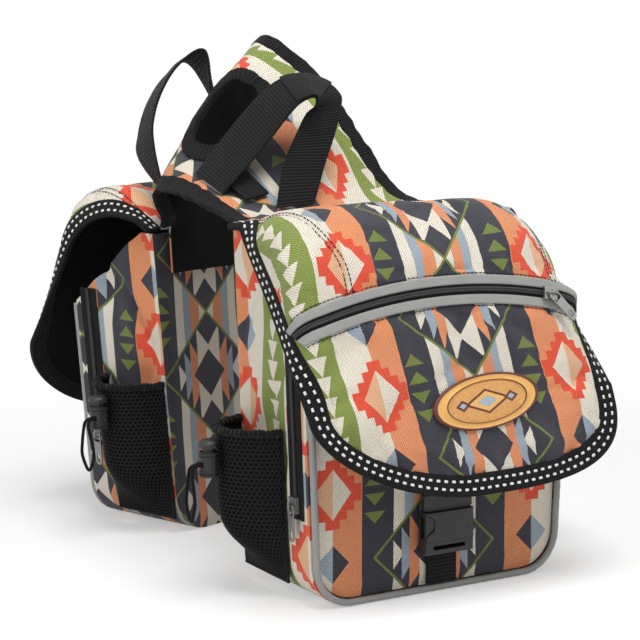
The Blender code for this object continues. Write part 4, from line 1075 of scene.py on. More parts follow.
@dataclass
class Flap:
    """The flap's surface, read by a = distance across and s = distance along its centre line.

    The high side is the one that hangs lower down the pouch's side at the back.
    """

    height: float
    shoulder_rise: float
    toe_drop: float
    high_side: int
    skirt_share: float
    opening: float
    upper_print: Pair
    lower_print: Pair
    print_lean: float = 0.17
    print_scale: float = 1.06
    print_tilt: float = 0.10
    seam_inset: float = 0.0026
    seam_rise: float = 0.0027
    shoulder_y: float = -0.0355
    shoulder_radius: float = 0.045
    toe_y: float = -0.0895
    lobe_drop: float = 0.1105
    back_half: float = 0.1145
    lobe_halves: Pair = (0.1206, 0.1300)
    widening: Pair = (0.4, 1.3)
    top_corners: Pair = (0.025, 0.074)
    front_corners: Pair = (0.014, 0.050)
    skirt_start: Pair = (0.030, 0.2525)
    skirt_ease: float = 0.004
    fan_focus: Pair = (0.045, 0.12)
    corner_spans: tuple[Pair, Pair] = ((0.3, 1.0), (0.6, 1.5))
    row_power: float = 1.25
    shelf_corner: float = 0.030
    shelf_drop: float = 0.008
    shelf_half: float = 0.014
    edge_thick: float = 0.0024
    pad: float = 0.0030
    pad_start: float = 0.014
    pad_full: float = 0.030
    lobe_powers: Pair = (1.7, 3.2)
    zip_crest_drop: float = 0.0385
    zip_bow: float = 0.400
    zip_lift: float = 0.0005
    badge_drop: float = 0.112
    tape_width: float = 0.0150
    tape_thick: float = 0.0040
    tuck: float = 0.0020

    def __post_init__(self) -> None:
        """Work out the centre line and the stops along it."""
        toe = (self.toe_y, NEAR_HEIGHT - self.toe_drop)
        self.seam = (DEPTH / 2 - self.seam_inset, NEAR_HEIGHT + self.seam_rise)
        shoulder = (self.shoulder_y, NEAR_HEIGHT + self.shoulder_rise)
        self.line = Trace(rounded_path([self.seam, shoulder, toe], [self.shoulder_radius], 16))
        slope = abs((Vector(toe) - Vector(shoulder)).normalized().y)
        self.lobe_depth = (NEAR_HEIGHT - self.lobe_drop - toe[1]) / slope
        self.lobe_start = self.line.length - self.lobe_depth
        self.zip_crest = self.line.length - (NEAR_HEIGHT - self.zip_crest_drop - toe[1]) / slope
        self.badge_centre = self.line.length - (NEAR_HEIGHT - self.badge_drop - toe[1]) / slope
        self.edge_start = Vector(self.skirt_start)
        self.edge_run = self.line.at(self.lobe_start)[0] - self.edge_start

    def skirt_depth(self, s: float) -> float:
        """Return how far the side edge hangs below the centre line's level at s.

        Args:
            s: The distance along the centre line.
        Returns:
            The depth.
        """
        centre = self.line.at(s)[0]
        fan = (Vector(self.fan_focus) - centre).normalized()
        across = Vector((-self.edge_run.y, self.edge_run.x))
        drop = (self.edge_start - centre).dot(across) / fan.dot(across)
        depth = (drop + math.sqrt(drop ** 2 + self.skirt_ease ** 2)) / 2 * self.skirt_share
        return depth if s < self.lobe_start else 0.0

    def pick(self, pair: Sequence[Item], a: float) -> Item:
        """Return the first of a pair on the flap's high side and the second on its low side."""
        return pair[0] if a * self.high_side > 0 else pair[1]

    def half(self, side: float, s: float) -> float:
        """Return half the flap's width at s, on the side of a."""
        share = smoothstep(*self.widening, s / self.lobe_start)
        return self.back_half + (self.pick(self.lobe_halves, side) - self.back_half) * share

    def section(self, a: float, s: float) -> tuple[float, float, float]:
        """Return the corner radius, its turn and the flat half width on the side of a.

        Args:
            a: The distance across, negative to the left.
            s: The distance along the centre line.
        Returns:
            The radius, the turn in radians and the half width.
        """
        depth = self.skirt_depth(s)
        share = smoothstep(*self.pick(self.corner_spans, a), s / self.zip_crest)
        top, front = self.pick(self.top_corners, a), self.pick(self.front_corners, a)
        corner = top + (front - top) * share
        beside = (s - self.zip_crest - self.shelf_drop) / self.shelf_half
        corner += (min(corner, self.shelf_corner) - corner) * math.exp(-beside ** 2)
        turn = math.acos(1 - min(depth / corner, 1.0))
        return corner, turn, self.half(a, s) - corner * math.sin(turn)

    def reach(self, side: float, s: float) -> float:
        """Return the distance across from the centre line to the side edge."""
        corner, turn, level = self.section(side, s)
        return level + corner * turn + max(self.skirt_depth(s) - corner, 0.0)

    def point(self, a: float, s: float, out: float = 0.0) -> Vector:
        """Return the point at (a, s) of the upright pouch, moved out along the surface's normal.

        Args:
            a: The distance across, negative to the left.
            s: The distance along the centre line.
            out: The height over the surface.
        Returns:
            The point.
        """
        centre, along = self.line.at(s)
        normal = Vector((along.y, -along.x))
        fan = (Vector(self.fan_focus) - centre).normalized()
        side = -1.0 if a < 0 else 1.0
        corner, full_turn, level = self.section(a, s)
        rest = abs(a) - level
        turn = min(max(rest / corner, 0.0), full_turn)
        straight = max(rest - corner * full_turn, 0.0)
        across = min(abs(a), level) + corner * math.sin(turn) + straight * math.cos(full_turn)
        drop = corner * (1 - math.cos(turn)) + straight * math.sin(full_turn)
        place = centre + fan * drop + normal * (out * math.cos(turn))
        upright = Vector((side * (across + out * math.sin(turn)), place.x, place.y))
        seam = Vector((0.0, self.seam[0], self.seam[1]))
        opened = Matrix.Rotation(-self.opening, 4, "X") @ (upright - seam) + seam
        return opened + Vector((0.0, 0.0, self.height - NEAR_HEIGHT))

    def lobe_end(self, share: float, inset: float) -> float:
        """Return how far along s the lobe's edge lies at a share of its half width.

        Args:
            share: The signed share of the half width.
            inset: The distance inside the edge.
        Returns:
            The distance along the centre line.
        """
        power = self.pick(self.lobe_powers, share)
        rest = 1 - min(abs(share), 1.0) ** power
        return self.lobe_start + (self.lobe_depth - inset) * rest ** (1 / power)

    def padding(self, a: float, s: float) -> float:
        """Return how far the outer face stands out of the middle surface.

        Args:
            a: The distance across, negative to the left.
            s: The distance along the centre line.
        Returns:
            The height of the outer face.
        """
        side = self.reach(a, s) - abs(a)
        toe = self.lobe_end(a / self.half(a, s), 0.0) - s
        inner = smoothstep(self.pad_start, self.pad_full, min(side, toe))
        return self.edge_thick / 2 + self.pad * inner

    def edge(self, inset: float) -> list[Pair]:
        """Return (a, s) along a line inside the free edge, from one seam end round the toe to the other.

        Args:
            inset: The distance inside the edge.
        Returns:
            The line's places.
        """
        rows, turns = 60, 60
        stops = [self.lobe_start * row / rows for row in range(rows)]
        left = [(inset - self.reach(-1, s), s) for s in stops]
        right = [(self.reach(1, s) - inset, s) for s in reversed(stops)]
        lobe = []
        for turn in range(-turns, turns + 1):
            angle = math.pi / 2 * turn / turns
            share = math.copysign(abs(math.sin(angle)) ** (2 / self.pick(self.lobe_powers, turn)), angle)
            s = self.lobe_end(share, inset)
            lobe.append(((self.reach(turn, s) - inset) * share, s))
        return left + lobe + right

    def column(self, side: float, share: float, s: float, inset: float) -> float:
        """Return the distance across of a grid column: flat, round the corner, then down the skirt.

        Args:
            side: The side, -1 or 1.
            share: The column's share of the way to the edge.
            s: The distance along the centre line.
            inset: The distance inside the edge.
        Returns:
            The distance across.
        """
        corner, turn, level = self.section(side, s)
        limit = self.reach(side, s) - inset
        first = min(level / limit, 0.80)
        second = min(max((level + corner * turn) / limit, first + 0.02), 0.97)
        if share <= 0.4:
            return limit * first * share / 0.4
        if share <= 0.8:
            return limit * (first + (second - first) * (share - 0.4) / 0.4)
        return limit * (second + (1 - second) * (share - 0.8) / 0.2)

    def bow(self, a: float) -> float:
        """Return how far along s the zip lies at a distance a across."""
        return self.zip_crest + self.zip_bow - math.sqrt(self.zip_bow ** 2 - a ** 2)

    def cloth(self, a: float, s: float) -> Rgb:
        """Return the print's place at (a, s), which is cut anew below the zip.

        Args:
            a: The distance across, negative to the left.
            s: The distance along the centre line.
        Returns:
            The cloth coordinates.
        """
        if s < self.bow(a):
            return ((a - self.upper_print[0]) * self.print_scale, self.upper_print[1] - s, 0.0)
        lean = self.print_lean * (s - self.zip_crest)
        tilt = self.print_tilt * min(a, 0.0)
        return ((a - self.lower_print[0] - lean) * self.print_scale, self.lower_print[1] - s - tilt, 0.0)

    def station(self, a: float, s: float, out: float, place: Callable[[Vector], Vector]) -> Station:
        """Return a place on the flap with its outward direction, in the part's frame."""
        here = place(self.point(a, s, out))
        return here, here, (place(self.point(a, s, out + 0.001)) - here).normalized()


@dataclass
class Pouch:
    """One pouch: its body, side zip and flap, and its two net pockets."""

    name: str
    height: float
    front_drop: float
    centre: Pair
    turn: float
    lean: float
    zip_side: int
    flap: Flap
    front_print: Pair
    back_print: Pair
    gusset_print: Pair
    rumple: float
    half_width: float = 0.100
    side_flare: float = 0.04
    corner_radius: float = 0.030
    piping_radius: float = 0.0025
    gusset_bulge: float = 0.004
    bulge_rise: float = 0.05
    bulge_front: float = -0.0210
    slope_start: float = 0.028
    zip_y: float = -0.0300
    zip_z: Pair = (0.060, 0.184)
    side_tape_half: float = 0.0088
    coil_pitch: float = 0.00035
    coil_bite: float = 0.28
    stitch_edge: float = 0.0113
    dash_insets: Pair = (0.0048, 0.0102)
    dart_depth: float = 0.0014
    dart_half: float = 0.0022
    fold_depth: float = 0.0012
    fold_size: float = 0.040
    zip_hold: float = 0.0125
    badge_hold: Pair = (0.050, 0.026)
    tape_hold: float = 0.003
    dart_hold: float = 0.0007

    def __post_init__(self) -> None:
        """Work out the pouch's place."""
        self.matrix = Matrix.Translation((*self.centre, 0.0)) @ Matrix.Rotation(self.turn, 4, "Z")

    def world(self, point: Sequence[float]) -> Vector:
        """Return a point of the upright pouch in the part's own frame."""
        return self.matrix @ Vector((point[0], point[1] - self.lean * point[2], point[2]))

    def placed(self, rows: Rows) -> Rows:
        """Return rows of upright points in the part's own frame."""
        return [[self.world(point) for point in row] for row in rows]

    def side_width(self, z: float, inset: float = 0.0) -> float:
        """Return half the pouch's width at a height."""
        return self.half_width + self.side_flare * z - inset * math.sqrt(1 + self.side_flare ** 2)

    def top(self, y: float) -> float:
        """Return the height of the pouch's open edge, which falls toward the front."""
        share = min(max((self.slope_start - y) / (self.slope_start + DEPTH / 2), 0.0), 1.0)
        return self.height - self.front_drop * share

    def outline(self, inset: float, y: float) -> Trace:
        """Return the U outline of the pouch seen from its front, as (x, z).

        Args:
            inset: The distance inside the edge.
            y: The place from front to back.
        Returns:
            The outline.
        """
        top, low = self.top(y), inset
        corners = [(-self.side_width(top, inset), top), (-self.side_width(low, inset), low),
                   (self.side_width(low, inset), low), (self.side_width(top, inset), top)]
        radius = self.corner_radius - inset
        return Trace(rounded_path(corners, [radius, radius], 12))

    def bulge(self, y: float, z: float) -> float:
        """Return how far a side wall swells at a place.

        Args:
            y: The place from front to back.
            z: The height.
        Returns:
            The swell.
        """
        span = min(max((y - self.bulge_front) / (DEPTH / 2 - self.bulge_front), 0.0), 1.0)
        rise = smoothstep(0.01, self.bulge_rise, z) * (1 - smoothstep(0.12, 0.20, z))
        return self.gusset_bulge * math.sin(math.pi * span) * rise

    def side_point(self, side: int, y: float, z: float, out: float) -> Vector:
        """Return a point outside a side wall."""
        return Vector((side * (self.side_width(z) + self.bulge(y, z) + out), y, z))

    def add(self, label: str, skin: Skin, finish: Finishes, node: str = "", body: str = "bag",
            crisp: float = 45.0) -> bpy.types.Object:
        """Add a piece that is named after the pouch, in place of one of its CAD nodes if a node is given."""
        stands_for = [f"{self.name}_{node}"] if node else []
        return add_piece(f"{self.name}_{label}", skin, finish, stands_for, body, crisp)

    def build(self) -> None:
        """Make every piece that both pouches have."""
        self.make_gusset()
        self.make_front()
        self.make_back()
        self.make_piping()
        self.make_flap()
        self.make_flap_zip()
        self.make_side_zip()
        for side, label in ((-1, "left"), (1, "right")):
            NetPocket(self, side, label).build()

    def wall_sink(self, x: float, y: float, z: float) -> float:
        """Return how deep the gusset's cloth dips at a place, clear of what is sewn on it.

        Args:
            x: The place across.
            y: The place from front to back.
            z: The height.
        Returns:
            The depth.
        """
        place = Vector((x, y + 0.35 * z, 0.45 * z))
        free = smoothstep(0.0, 0.012, min(y + DEPTH / 2, DEPTH / 2 - y))
        if x * self.zip_side > 0:
            free *= smoothstep(self.zip_y + 0.009, self.zip_y + 0.018, y)
        broad = 0.5 + 0.5 * wander(place, 0.030, 3.1)
        return self.rumple * free * (0.4 * broad + 0.8 * crease(place, 0.026, 1.7))

    def make_gusset(self) -> None:
        """Make the strip of cloth that is the two sides and the base."""
        front, back = -DEPTH / 2 + self.piping_radius + GAP, DEPTH / 2 - WALL - GAP
        columns, rows = 34, 130
        outer, inner, cloth = [], [], []
        for column in range(columns + 1):
            y = front + (back - front) * column / columns
            for inset, made in ((0.0, outer), (WALL, inner)):
                path, line = self.outline(inset, y), []
                for row in range(rows + 1):
                    x, z = path.at(path.length * row / rows)[0]
                    side = 0.0 if abs(x) < self.half_width - self.corner_radius else math.copysign(1.0, x)
                    sink = self.wall_sink(side * self.half_width, y, z) * smoothstep(0.010, 0.035, z)
                    line.append(Vector((x + side * (self.bulge(y, z) - sink), y, z)))
                made.append(line)
            length = self.outline(0.0, y).length
            cloth.append([(self.gusset_print[0] + y + DEPTH / 2,
                           abs(row / rows - 0.5) * length + self.gusset_print[1], 0.0)
                          for row in range(rows + 1)])
        skin = Skin().sheet(self.placed(outer), self.placed(inner), cloth)
        self.add("gusset_cloth", skin, Finishes.PRINT, "gusset")

    def panel(self, face: float, back: float, inset: float, origin: Pair, sag: float, seed: float) -> Skin:
        """Return a crowned panel inside the U outline.

        Args:
            face: The y of its outer face.
            back: The y of its inner face.
            inset: How far inside the outline it ends.
            origin: Where its print starts, as (x, z).
            sag: How deep its seams and soft places lie.
            seed: What makes its soft places its own.
        Returns:
            The panel's skin.
        """
        top, radius = self.top(face), self.corner_radius - inset
        rows, columns = 80, 70
        outward = math.copysign(1.0, face)
        outer, inner, cloth = [], [], []
        for row in range(rows + 1):
            rise = (top - inset) * (row / rows) ** 1.15
            z = inset + rise
            dip = max(radius - rise, 0.0)
            half = self.side_width(z, inset) - radius + math.sqrt(max(radius ** 2 - dip ** 2, 0.0))
            lines = ([], [], [])
            for column in range(columns + 1):
                x = half * (2 * column / columns - 1)
                rim = min(half - abs(x), rise)
                soft = 0.5 + 0.5 * wander(Vector((x, seed, z)), 0.035, seed)
                seam = sag * (1 - smoothstep(0.0, 0.010, rim))
                deep = seam + sag * 0.9 * soft * smoothstep(0.0, 0.02, rim)
                lines[0].append(Vector((x, face - outward * deep, z)))
                lines[1].append(Vector((x, back, z)))
                lines[2].append(((x - origin[0]) * -outward, z - origin[1], 0.0))
            for rows_made, line in zip((outer, inner, cloth), lines):
                rows_made.append(line)
        return Skin().sheet(self.placed(outer), self.placed(inner), cloth)

    def make_front(self) -> None:
        """Make the front panel between the piping."""
        front = -DEPTH / 2
        skin = self.panel(front, front + WALL, 2 * self.piping_radius + GAP, self.front_print, 0.0017, 2.3)
        self.add("front_cloth", skin, Finishes.PRINT, "front_panel")

    def make_back(self) -> None:
        """Make the back panel."""
        back = DEPTH / 2
        skin = self.panel(back, back - WALL, 0.0, self.back_print, 0.0018, 5.9)
        self.add("back_cloth", skin, Finishes.PANEL_PRINT, "back_panel")

    def make_piping(self) -> None:
        """Make the round reflective piping in the front seam."""
        front = -DEPTH / 2
        flat_line = self.outline(self.piping_radius, front).evenly(0.0022)
        line = [self.world((point.x, front, point.y)) for point in flat_line]

        def radius(distance: float) -> float:
            """Return the cord's radius with the small waves that its stitches leave."""
            return self.piping_radius * (0.965 + 0.035 * math.sin(distance * 2 * math.pi / 0.0072))

        skin = Skin().loft(tube(line, radius, 14, self.matrix.to_3x3() @ Vector((0.0, 1.0, 0.0))))
        self.add("piping_cord", skin, Finishes.PIPING, "piping", crisp=80.0)

    def flap_sink(self, a: float, s: float) -> float:
        """Return how deep the flap's cloth dips at its darts and beside its zip.

        Args:
            a: The distance across, negative to the left.
            s: The distance along the centre line.
        Returns:
            The depth.
        """
        depth = 0.0
        for dart in self.darts():
            near = min((Vector((a, s)) - knot).length for knot in dart)
            depth = max(depth, self.dart_depth * math.exp(-(near / self.dart_half) ** 2))
        return depth

    def darts(self) -> list[list[Vector]]:
        """Return the curved dart seams of the flap's top as close-set (a, s) points.

        Returns:
            The left dart and the right one.
        """
        crest = self.flap.zip_crest
        left = [(-0.1030, 0.012), (-0.1000, 0.040), (-0.0900, crest * 0.62), (-0.0800, crest * 0.82),
                (-0.0770, crest)]
        right = [(0.1030, 0.012), (0.1010, 0.040), (0.0960, crest * 0.62), (0.0900, crest * 0.82),
                 (0.0880, crest)]
        return [smooth_curve([Vector(knot) for knot in side], 14) for side in (left, right)]

    def crumpled(self, point: Vector, a: float, s: float) -> Vector:
        """Return a point of the flap's outer face with the soft folds that it has away from its seams.

        Args:
            point: The point before it is crumpled.
            a: The distance across, negative to the left.
            s: The distance along the centre line.
        Returns:
            The point.
        """
        if self.flap_held(a, s):
            return point
        inward = self.flap.point(a, s, 0.0) - self.flap.point(a, s, 0.001)
        depth = self.fold_depth * crease(Vector((a, s, 0.3)), self.fold_size, 7.0)
        return point + inward.normalized() * depth

    def flap_held(self, a: float, s: float) -> float:
        """Return 1 where the flap's cloth is sewn down and 0 where it is free.

        Args:
            a: The distance across, negative to the left.
            s: The distance along the centre line.
        Returns:
            1 or 0.
        """
        flap = self.flap
        on_zip = abs(s - flap.bow(a)) < self.zip_hold
        across, along = (a - Badge.across) / self.badge_hold[0], (s - flap.badge_centre) / self.badge_hold[1]
        on_badge = self.name == "near" and Vector((across, along)).length < 1.0
        at_tape = flap.reach(a, s) - abs(a) < flap.tape_width + self.tape_hold
        in_dart = self.flap_sink(a, s) > self.dart_hold
        return float(on_zip or on_badge or at_tape or in_dart)

    def make_flap(self) -> None:
        """Make the padded printed flap, its lining, its edge tape and its stitches."""
        flap = self.flap
        inset = flap.tape_width - flap.tuck
        rows, columns = 92, 42
        keys = [[(0.0, 0.0)] * (2 * columns + 1) for _ in range(rows + 1)]
        for index in range(-columns, columns + 1):
            side, share = (-1 if index < 0 else 1), abs(index) / columns
            limit = flap.reach(side, flap.lobe_start) - inset
            end = flap.lobe_end(side * flap.column(side, share, flap.lobe_start, inset) / limit, inset)
            for row in range(rows + 1):
                s = GAP + (end - GAP) * (row / rows) ** flap.row_power
                keys[row][index + columns] = (side * flap.column(side, share, s, inset), s)
        outer = [[flap.point(a, s, flap.padding(a, s) - self.flap_sink(a, s)) for a, s in line]
                 for line in keys]
        outer = [[self.crumpled(point, *key) for point, key in zip(*pair)] for pair in zip(outer, keys)]
        held = [[self.flap_held(a, s) for a, s in line] for line in keys]
        for line in held:
            line[0] = line[-1] = 1.0
        held[0] = held[-1] = [1.0] * (2 * columns + 1)
        outer = Slack().settle(self.placed(outer), held)
        middle = self.placed([[flap.point(a, s, -0.0003) for a, s in line] for line in keys])
        inner = self.placed([[flap.point(a, s, -flap.edge_thick / 2) for a, s in line] for line in keys])
        cloth = [[flap.cloth(a, s) for a, s in line] for line in keys]
        skin = Skin().sheet(outer, middle, cloth)
        self.add("flap_cloth", skin, Finishes.PRINT, "flap")
        raised = self.placed([[flap.point(a, s, -0.0005) for a, s in line] for line in keys])
        plain = [[(a, s, 0.0) for a, s in line] for line in keys]
        self.add("flap_lining", Skin().sheet(inner, raised, plain), Finishes.LINING)
        self.make_flap_tape()
        self.make_flap_stitches()

    def make_flap_tape(self) -> None:
        """Make the folded herringbone tape round the flap's free edge, and its reflective dashes."""
        flap = self.flap
        width, thick = flap.tape_width, flap.tape_thick

        def place(a: float, s: float, out: float) -> Vector:
            """Return a point of the tape, which waves a little where it is sewn round the curve."""
            spot = self.world(flap.point(a, s, out))
            return self.world(flap.point(a, s, out * (1 + 0.10 * wander(spot, 0.012, 4.0))))

        skin = band(Skin(), flap.edge(0.0), flap.edge(width), place, width, -thick / 2, thick / 2)
        self.add("flap_tape", skin, Finishes.HERRINGBONE, "flap_binding")
        dashes = Skin()
        for inset in self.dash_insets:
            line = [flap.station(a, s, thick / 2, self.world) for a, s in flap.edge(inset)]
            REFLECTIVE_DASH.sew(dashes, line)
        self.add("flap_dashes", dashes, Finishes.DASH)

    def make_flap_stitches(self) -> None:
        """Make the topstitching along the darts and beside the zip."""
        flap, thread = self.flap, Skin()
        for dart in self.darts():
            for shift in (-self.dart_half, self.dart_half):
                line = [flap.station(a + shift, s, flap.padding(a + shift, s) - 0.0003, self.world)
                        for a, s in dart]
                TOPSTITCH.sew(thread, line)
        for across in (-self.stitch_edge, self.stitch_edge):
            line = [flap.station(a, s, flap.padding(a, s), self.world) for a, s in self.zip_line(across)]
            TOPSTITCH.sew(thread, line)
        self.add("flap_thread", thread, Finishes.THREAD)

    def zip_line(self, across: float) -> list[Pair]:
        """Return (a, s) along a line beside the flap's zip, from tape to tape.

        Args:
            across: The distance from the zip, positive towards the toe.
        Returns:
            The line's places.
        """
        flap, steps = self.flap, 120
        ends = []
        for side in (-1, 1):
            a = side * 0.1
            for _ in range(8):
                s = flap.bow(a) + across
                a = side * (flap.reach(side, s) - flap.tape_width - 0.001)
            ends.append(a)
        line = []
        for step in range(steps + 1):
            a = ends[0] + (ends[1] - ends[0]) * step / steps
            tilt = math.asin(a / flap.zip_bow)
            line.append((a - across * math.sin(tilt), flap.bow(a) + across * math.cos(tilt)))
        return line

    def make_flap_zip(self) -> None:
        """Make the bowed zip across the flap: a black coil between two reflective bands."""
        flap = self.flap

        def place(a: float, s: float, out: float) -> Vector:
            """Return a point at a height over the flap's outer face."""
            return self.world(flap.point(a, s, flap.padding(a, s) + flap.zip_lift + out))

        bands = Skin()
        for low, high, lip in ((-0.0100, -0.0034, 0.0014), (0.0034, 0.0100, 0.0010)):
            band(bands, self.zip_line(low), self.zip_line(high), place, high - low, -0.0003, lip)
        self.add("flap_zip_bands", bands, Finishes.BAND)
        tapes = band(Skin(), self.zip_line(-0.0050), self.zip_line(0.0050), place, 0.010, -0.0002, 0.0004)
        self.add("flap_zip_tape", tapes, Finishes.ZIP_TAPE, "flap_zip")
        line = [flap.station(a, s, flap.padding(a, s) + flap.zip_lift + 0.0010, self.world)
                for a, s in self.zip_line(0.0)]
        self.add("flap_zip_coil", self.coil(line), Finishes.COIL)

    def coil(self, line: list[Station]) -> Skin:
        """Return a closed zip coil with its teeth in two rows along a line.

        Args:
            line: The zip's stations.
        Returns:
            The coil's skin.
        """
        rings = []
        for index, (place, along, out) in enumerate(stations(line, self.coil_pitch)):
            across = out.cross(along).normalized()
            tooth = 0.5 + 0.5 * math.sin(index * math.pi / 2)
            other = 0.5 + 0.5 * math.sin(index * math.pi / 2 + math.pi)
            ring = []
            for c, d, row in ((-0.0020, -0.0006, 0), (0.0020, -0.0006, 1), (0.0021, 0.0002, 1),
                              (0.0015, 0.0009, 1), (0.0007, 0.0010, 1), (0.0, 0.0005, 2),
                              (-0.0007, 0.0010, 0), (-0.0015, 0.0009, 0), (-0.0021, 0.0002, 0)):
                grow = 1 - self.coil_bite * (tooth, other, 0.5)[row]
                ring.append(place + across * (c * grow) + out * (d * grow))
            rings.append(ring)
        return Skin().loft(rings)

    def make_side_zip(self) -> None:
        """Make the upright zip beside the piping."""
        side = self.zip_side

        def place(y: float, z: float, out: float) -> Vector:
            """Return a point at a height over the side wall."""
            return self.world((side * (self.side_width(z) + GAP + out), y, z))

        heights, half = spread(*self.zip_z, 40), self.side_tape_half
        first = [(self.zip_y - half, z) for z in heights]
        second = [(self.zip_y + half, z) for z in heights]
        skin = band(Skin(), first, second, place, 2 * half, 0.0, 0.0008)
        self.add("side_zip_tape", skin, Finishes.ZIP_TAPE, "side_zip")
        line = []
        for z in heights:
            here = place(self.zip_y, z, 0.0013)
            line.append((here, here, (place(self.zip_y, z, 0.0023) - here).normalized()))
        self.add("side_zip_coil", self.coil(line), Finishes.COIL)


@dataclass
class NetPocket:
    """One side pocket: the net, a near-black sheet behind it as painted shade, its hem and seams, the draw
    cord and its lock.
    """

    pouch: Pouch
    side: int
    label: str
    mesh_y: Pair = (-0.0160, 0.0440)
    mesh_z: Pair = (0.013, 0.116)
    mesh_bulge: float = 0.028
    mesh_thick: float = 0.0016
    net_cell: float = 0.0033
    net_wire: float = 0.0012
    # How far the painted-shade sheet lies behind the net's middle.
    shade_sheet_depth: float = 0.0007
    cord_place: Pair = (0.014, 0.094)
    cord_diameter: float = 0.0024
    cord_pitch: float = 0.0030
    cord_straight: float = 0.0170
    cord_drop: float = 0.0380
    cord_bend: float = 0.0050
    cord_loop: float = 0.0060
    lock_radius: float = 0.0065
    lock_length: float = 0.0170
    lock_standoff: float = 0.0012
    button_radius: float = 0.0074
    button_head: float = 0.0024
    button_travel: float = 0.0025
    hem_radius: float = 0.0026
    seam_radius: float = 0.0012

    def build(self) -> None:
        """Make the pocket and its cord."""
        self.make_net()
        self.make_shade_sheet()
        self.make_edges()
        self.make_cord()
        self.make_lock_trim()

    def net_out(self, y: float, z: float) -> float:
        """Return how far a net pocket stands out of its side wall.

        Args:
            y: The place from front to back.
            z: The height.
        Returns:
            The distance.
        """
        share = (y - self.mesh_y[0]) / (self.mesh_y[1] - self.mesh_y[0])
        swell = max(math.sin(math.pi * min(max(share, 0.0), 1.0)), 0.0) ** 0.6
        rise = smoothstep(self.mesh_z[0] - 0.004, self.mesh_z[0] + 0.045, z)
        return GAP + self.mesh_bulge * swell * rise

    def outside(self, y: float, z: float, out: float) -> Vector:
        """Return a point outside the pocket's wall, in the part's own frame."""
        return self.pouch.world(self.pouch.side_point(self.side, y, z, out))

    def net_point(self, y: float, z: float, out: float = 0.0) -> Vector:
        """Return a point of a net pocket's middle, with its soft dents, in the part's own frame.

        Args:
            y: The place from front to back.
            z: The height.
            out: The height over the surface.
        Returns:
            The point.
        """
        dent = 0.0022 * wander(Vector((self.side * 0.1, y, z)), 0.022, 6.0 + self.side)
        swell = self.net_out(y, z)
        dent *= smoothstep(0.0, 0.012, swell)
        return self.outside(y, z, swell + self.mesh_thick / 2 + dent + out)

    def net_stops(self) -> Trace:
        """Return a trace that reads y by the distance round the pocket, as its second value."""
        level = self.mesh_z[0] + 0.6 * (self.mesh_z[1] - self.mesh_z[0])
        return Trace([(y, self.net_out(y, level), 0.0) for y in spread(*self.mesh_y, 60)])

    def make_net(self) -> None:
        """Make one side pocket's knitted net as a mesh of hexagonal cells."""
        round_way = self.net_stops()
        pitch = self.net_cell
        rise = pitch * math.sqrt(3) / 2
        columns = int(round_way.length / pitch)
        rows = int((self.mesh_z[1] - self.mesh_z[0]) / rise)
        corners: dict[tuple[int, int], int] = {}
        radius = pitch / math.sqrt(3)
        points, faces = [], []
        for row in range(rows):
            for column in range(columns):
                face = []
                for turn in range(6):
                    angle = math.pi / 3 * turn + math.pi / 6
                    across = (column + 0.5 + 0.5 * (row % 2)) * pitch + math.cos(angle) * radius
                    up = (row + 0.6) * rise + math.sin(angle) * radius
                    key = (round(across * 1e5), round(up * 1e5))
                    if key not in corners:
                        corners[key] = len(points)
                        across = min(max(across, 0.0), round_way.length)
                        y = round_way.at(across)[0].x
                        z = min(max(self.mesh_z[0] + up, self.mesh_z[0]), self.mesh_z[1])
                        points.append(self.net_point(y, z))
                    face.append(corners[key])
                faces.append(tuple(face))
        skin = Skin(points, faces, [(0.0, 0.0, 0.0)] * len(points))
        item = self.pouch.add(self.label + "_net", skin, Finishes.NET, self.label + "_mesh")
        wire = item.modifiers.new("wire", "WIREFRAME")
        wire.thickness = self.net_wire
        wire.use_even_offset = False
        wire.use_boundary = True

    def make_shade_sheet(self) -> None:
        """Make a near-black sheet just behind one net pocket's cells: painted shade that stands for the dark
        inside of the pocket.
        """
        round_way = self.net_stops()
        columns, sheets = 40, ([], [])
        stops = [round_way.at(round_way.length * column / columns)[0].x for column in range(columns + 1)]
        for z in spread(*self.mesh_z, 40):
            for made, out in zip(sheets, (-self.shade_sheet_depth, -self.shade_sheet_depth - GAP)):
                made.append([self.net_point(y, z, max(out, -self.net_out(y, z) * 0.9)) for y in stops])
        cloth = measured(sheets[0])
        # Painted shade: the near-black sheet fills the net's holes, where the inside of the pocket is in
        # shade.
        self.pouch.add(self.label + "_net_ground", Skin().sheet(*sheets, cloth), Finishes.POCKET_SHADE)

    def make_edges(self) -> None:
        """Make the napped hem and the sewn edges of one net pocket."""
        ys, thin = spread(*self.mesh_y, 44), self.seam_radius
        hem = [self.net_point(y, self.mesh_z[1]) for y in ys]
        up = self.pouch.matrix.to_3x3() @ Vector((0.0, 0.0, 1.0))

        def fluff(distance: float) -> float:
            """Return the hem's uneven radius."""
            return self.hem_radius + 0.0005 * math.sin(distance * 2100) + 0.0004 * math.sin(distance * 5700)

        skin = Skin().loft(tube(Trace(hem).evenly(0.0012), fluff, 10, up))
        self.pouch.add(self.label + "_pocket_hem", skin, Finishes.NAP)
        edges = Skin()
        ahead = self.pouch.matrix.to_3x3() @ Vector((0.0, 1.0, 0.0))
        for y, inward in ((self.mesh_y[0], 0.0006), (self.mesh_y[1], -0.0006)):
            line = [self.outside(y + inward, z, thin) for z in spread(*self.mesh_z, 44)]
            edges.loft(tube(line, lambda distance: thin + 0.0002 * math.sin(distance * 1900), 8, ahead))
        base = [self.outside(y, self.mesh_z[0], thin) for y in ys]
        edges.loft(tube(base, lambda distance: thin, 8, up))
        self.pouch.add(self.label + "_pocket_seam", edges, Finishes.NAP)

    def lock_place(self) -> Matrix:
        """Return a cord lock's frame: X out from the pocket along the cord, Z up its barrel.

        Returns:
            The frame.
        """
        y, z = self.cord_place
        share = (y - self.mesh_y[0]) / (self.mesh_y[1] - self.mesh_y[0])
        swell = GAP + self.mesh_bulge * math.sin(math.pi * share) ** 0.6
        wall = self.pouch.side_point(self.side, y, z, swell + self.mesh_thick)
        return Matrix.Translation(wall) @ Matrix.Rotation(0.0 if self.side > 0 else math.pi, 4, "Z")

